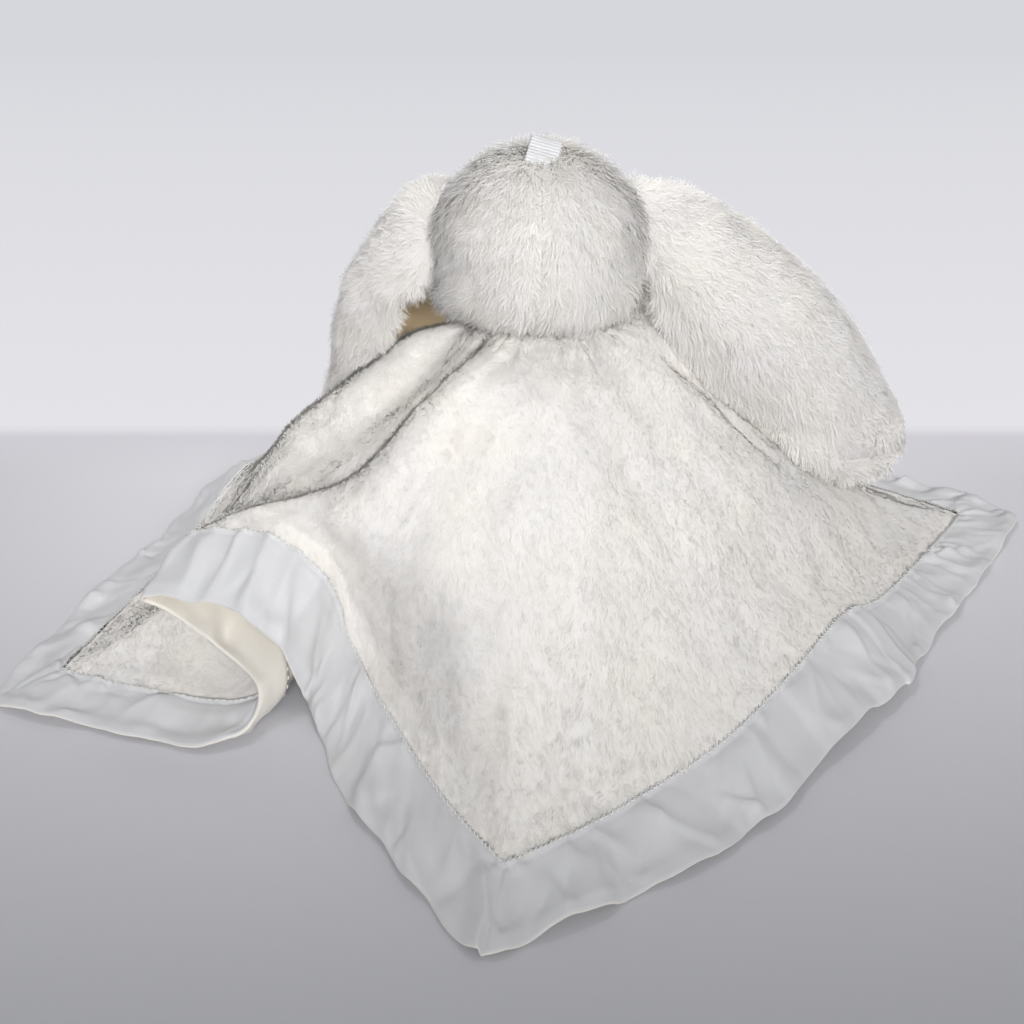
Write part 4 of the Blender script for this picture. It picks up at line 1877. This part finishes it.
@dataclass
class Neck:
    """The collar of cloth under the head, and the filling inside it."""

    radius: float = 19.4
    wall: float = 1.8
    rise: float = 7.5
    foot: float = 112.15
    gap: float = 0.3
    sides: int = 96

    def lathe(self, profile: Array, folds: float, name: str, material: Material) -> Piece:
        """Turns a closed profile about the neck's axis, with soft folds round it.

        Args:
            profile: radius and height of its points, in order.
            folds: depth of the folds in mm.
            name: the piece's name.
            material: its finish.

        Returns:
            The piece.
        """
        rows = len(profile)
        turn = np.linspace(0, 2 * np.pi, self.sides, endpoint=False)[None, :]
        radius = profile[:, :1] + folds * np.sin(turn * 17) * (profile[:, :1] > 1)
        height = np.broadcast_to(profile[:, 1:], radius.shape)
        points = np.stack([radius * np.cos(turn), radius * np.sin(turn), height], -1)
        ring = np.append(np.arange(self.sides), 0)
        closing = strip_quads(ring + (rows - 1) * self.sides, ring)
        quads = np.concatenate([grid_quads(rows, self.sides, True), closing])
        cloth = Surface(points.reshape(-1, 3), quads)
        cloth.uv = flat_uv(turn[0] * self.radius, 0 * turn[0], rows)
        return cloth.piece(name, material)

    def collar(self, finishes: Finishes) -> Piece:
        """Builds the collar: a rounded wall between blanket and head."""
        inside, middle = self.radius - self.wall, self.wall / 2
        turn = np.linspace(0, np.pi, 7)
        round_x = inside + middle + middle * np.cos(turn)
        low = np.stack([round_x, self.foot + 0.5 - 0.5 * np.sin(turn)], -1)
        high = np.stack([round_x, self.foot + self.rise - 0.5 + 0.5 * np.sin(turn)], -1)
        outline = np.concatenate([high, low[::-1]])
        return self.lathe(outline, 0.12, "neck_collar_cloth", finishes.fur_cloth)

    def filling(self, head: BunnyHead, finishes: Finishes) -> Piece:
        """Builds the filling: a plug hollowed on top where the head's own filling presses on it."""
        reach = self.radius - self.wall - self.gap - 0.2
        radius = np.concatenate([np.linspace(0.05, reach, 18), [reach + 0.1] * 2,
                                 np.linspace(reach, 0.05, 12)])
        turns = np.array(radius[:18]) / (head.width / 2 - head.skin)
        bowl = head.centre[2] - (head.height / 2 - head.skin) * np.sqrt(1 - turns**2) - 0.25
        top = np.minimum(bowl, self.foot + self.rise - 0.2)
        rim = np.array([top[-1] - 1.0, self.foot + 1.2])
        outline = np.stack([radius, np.concatenate([top, rim, np.full(12, self.foot + 0.1)])], -1)
        return self.lathe(outline, 0.0, "neck_filling", finishes.stuffing)


@dataclass
class RibbonTab:
    """A loop of grosgrain ribbon caught in the crown seam, folded over a narrow slit."""

    width: float = 12.0
    height: float = 10.5
    ribbon: float = 0.5
    slit: float = 0.6
    foot: Place = (-0.8, -13.6, 178.6)
    twist: float = 8.0
    roll: float = 16.0
    rib: float = 0.9
    leg_rows: int = 90

    def piece(self, finishes: Finishes) -> Piece:
        """Builds the ribbon: up one leg, round the fold and down the other, ribbed across its length."""
        half = self.slit / 2
        bend = self.height - half - self.ribbon
        leg, turn = np.linspace(0, bend, self.leg_rows), np.linspace(0, np.pi, 16)[1:-1]
        line_y = np.concatenate([0 * leg - 1, -np.cos(turn), 0 * leg + 1])
        line_z = np.concatenate([leg, bend + 0 * turn, leg[::-1]])
        rise = np.concatenate([0 * leg, np.sin(turn), 0 * leg])
        step = np.hypot(np.diff(line_y * (half + self.ribbon)), np.diff(line_z + rise))
        run = np.cumsum(np.append(0, step))
        across = np.linspace(-1, 1, 29)
        edge = 1 - 0.55 * np.abs(across) ** 14
        ribs = 0.05 * np.sin(2 * np.pi * run / self.rib)[:, None] * edge[None, :]
        bow = 0.25 * np.sin(np.pi * across)[None, :] * (line_z / self.height)[:, None]
        grids = []
        for inward in (0.0, 1.0):
            reach = half + self.ribbon * (1 - inward) + ribs * (1 - inward) + 0.06 * inward
            y = line_y[:, None] * reach + bow
            z = line_z[:, None] + rise[:, None] * reach
            x = np.broadcast_to(across * self.width / 2, z.shape) * (1 + 0.012 * np.sin(run / 3.1))[:, None]
            grids.append(np.stack([x, y, z], -1))
        (c, s), (d, r) = ((np.cos(turn), np.sin(turn)) for turn in np.radians([self.twist, self.roll]))
        spin = np.array([[c, -s, 0], [s, c, 0], [0, 0, 1]]) @ np.array([[d, 0, r], [0, 1, 0], [-r, 0, d]])
        over, under = (grid @ spin.T + np.array(self.foot) for grid in grids)
        cloth = cloth_body(over[:, ::-1], under[:, ::-1], wraps=False)
        cloth.uv = flat_uv(run[:, None], across[None, :] * self.width / 2, 2)
        return cloth.piece("crown_ribbon", finishes.ribbon)


# ---------------------------------------------------------------- the studio


@dataclass(frozen=True)
class Lamp:
    """An area lamp: its place and aim in metres, its width and height, its power and beam in degrees."""

    name: str
    place: Place
    target: Place
    size: Pair
    watts: float
    spread: float

    def light(self) -> None:
        """Adds the lamp to the scene."""
        data = bpy.data.lights.new(self.name, "AREA")
        data.shape, data.energy = "RECTANGLE", self.watts
        data.size, data.size_y = self.size
        data.spread = np.radians(self.spread)
        lamp = placed(self.name, data)
        aim = np.array(self.target) - np.array(self.place)
        pan = np.arctan2(aim[0], aim[1])
        tilt = np.arctan2(np.hypot(aim[0], aim[1]), -aim[2])
        lamp.location = self.place
        lamp.rotation_euler = (tilt, 0.0, -pan)


@dataclass
class Studio:
    """A plain pale floor, soft lamps and the camera."""

    lamps: tuple[Lamp, ...] = (
        Lamp("ceiling", (-0.14, 0.2, 0.8), (-0.05, 0.1, 0.0), (0.22, 0.16), 0.17, 54.0),
        Lamp("front", (0.18, -1.0, 0.48), (0.04, 0.0, 0.155), (1.1, 0.12), 1.3, 40.0),
        Lamp("back", (0.0, 0.9, 0.75), (0.0, 0.0, 0.08), (0.8, 0.2), 0.15, 60.0),
    )
    world: float = 0.34
    sky: Colour = (0.96, 0.975, 1.0, 1.0)
    camera_place: Place = (-0.02618, -0.46887, 0.259)
    camera_tilt: float = 64.0
    lens: float = 42.19
    sensor: float = 36.0
    floor_half: float = 30.0
    floor_drop: float = 0.0003

    def build(self) -> None:
        """Adds the floor, the lamps, the world's light and the camera."""
        stops = ((0.16, linear(209, 207, 213)), (0.174, linear(228, 227, 232)), (0.6, linear(223, 223, 228)),
                 (2.5, linear(214, 215, 220)))
        mesh = bpy.data.meshes.new("floor")
        corners = [(x * self.floor_half, y * self.floor_half, -self.floor_drop)
                   for x, y in ((-1, -1), (1, -1), (1, 1), (-1, 1))]
        mesh.from_pydata(corners, [], [(0, 1, 2, 3)])
        finish = FloorFinish("pale_floor", linear(196, 196, 201), linear(236, 235, 240), stops)
        mesh.materials.append(finish.material())
        placed("floor", mesh)
        for lamp in self.lamps:
            lamp.light()
        world = bpy.data.worlds.new("studio")
        world.use_nodes = True
        sky = world.node_tree.nodes["Background"]
        sky.inputs["Color"].default_value = self.sky
        sky.inputs["Strength"].default_value = self.world
        scene = bpy.context.scene
        scene.world = world
        data = bpy.data.cameras.new("camera")
        data.lens, data.sensor_width = self.lens, self.sensor
        camera = placed("camera", data)
        camera.location = self.camera_place
        camera.rotation_euler = (np.radians(self.camera_tilt), 0.0, 0.0)
        scene.camera = camera
        scene.view_settings.view_transform = "Standard"


# ---------------------------------------------------------------- putting it together


def dress(pieces: list[Piece], body: str, slot: Slot, nodes: tuple[str, ...] = ()) -> None:
    """Lets pieces ride on a body, names their slot and hides the nodes that the first one stands for.

    Args:
        pieces: the new pieces.
        body: the body that carries them.
        slot: the record's material slot.
        nodes: nodes that the first piece replaces.
    """
    for piece in pieces:
        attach(piece, body)
    if nodes:
        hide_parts(*nodes)
    LOG.info("%s rides on %s", ", ".join(piece.name for piece in pieces), body)


def dress_blanket(finishes: Finishes) -> None:
    """Builds the blanket, its binding and its stitches.

    Args:
        finishes: the object's finishes.
    """
    blanket = Blanket(Drape())
    plush, back = blanket.plush_face(finishes), blanket.smooth_back(finishes)
    nap = blanket.nap(finishes, 4)
    binding = Binding(blanket)
    ribbon = binding.ribbon_piece(finishes)
    upper, lower = binding.stitches(finishes, True), binding.stitches(finishes, False)
    dress([plush, *nap], "blanket", Slot.PLUSH, ("blanket_plush",))
    dress([back], "blanket", Slot.BACKING, ("blanket_backing",))
    dress([ribbon, upper, lower], "blanket", Slot.SATIN, ("satin_binding",))


def dress_head(finishes: Finishes) -> BunnyHead:
    """Builds the head, its face, its neck and its ribbon tab.

    Args:
        finishes: the object's finishes.

    Returns:
        The head, for the ears.
    """
    head = BunnyHead()
    panels, grids = head.panels(finishes)
    face = Embroidery(head)
    bare = [(side * face.eye_spread, face.eye_rise, face.eye_radius) for side in (-1, 1)]
    bare += [(0.0, -face.nose_drop, face.nose_height / 2 + 0.8), (0.0, -face.nose_drop - 7.5, 1.2)]
    fur = head.fur(grids, bare, finishes)
    filling = head.ball(-head.skin - 0.4, 0.35, 60, 90).piece("head_filling", finishes.stuffing)
    for panel, strands, node in zip(panels, fur, ("head_back_right", "head_back_left", "head_face")):
        dress([panel, strands], "head", Slot.FUR, (node,))
    dress([filling], "head", Slot.STUFFING, ("head_stuffing",))
    dress([face.eye(-1, finishes)], "head", Slot.EYE_THREAD, ("eye_left",))
    dress([face.eye(1, finishes)], "head", Slot.EYE_THREAD, ("eye_right",))
    dress([face.nose(finishes), *face.mouth(finishes)], "head", Slot.NOSE_THREAD, ("nose",))
    neck = Neck()
    collar, plug = neck.collar(finishes), neck.filling(head, finishes)
    for piece, slot, node in ((collar, Slot.PLUSH, "neck_collar"), (plug, Slot.STUFFING, "neck_stuffing")):
        low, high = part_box(node)
        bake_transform(piece)
        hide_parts(node)
        LOG.info("%s bends between blanket and head", piece.name)
    dress([RibbonTab().piece(finishes)], "crown_tab", Slot.RIBBON, ("crown_ribbon_tab",))
    return head


def dress_ears(head: BunnyHead, finishes: Finishes) -> None:
    """Builds both ears.

    Args:
        head: the head that they hang from.
        finishes: the object's finishes.
    """
    for side, shares in ((-1, EAR_LEFT_SHARES), (1, EAR_RIGHT_SHARES)):
        ear = LopEar(side, shares, head)
        fur, lining = ear.cloths(finishes)
        pelt = ear.pelt(finishes, 2)
        body = f"ear_{ear.name}"
        dress([fur, *pelt], body, Slot.FUR, (f"{body}_fur",))
        dress([lining], body, Slot.LINING, (f"{body}_lining",))
        flat = (float(ear.from_root.max()) * MM, float(np.ptp(ear.across)) * MM)


def main() -> None:
    """Builds the whole object in order and the studio round it."""
    logging.basicConfig(level=logging.INFO, format="%(name)s: %(message)s")
    finishes = Finishes()
    Studio().build()
    dress_blanket(finishes)
    head = dress_head(finishes)
    dress_ears(head, finishes)


if __name__ == "__main__":
    main()
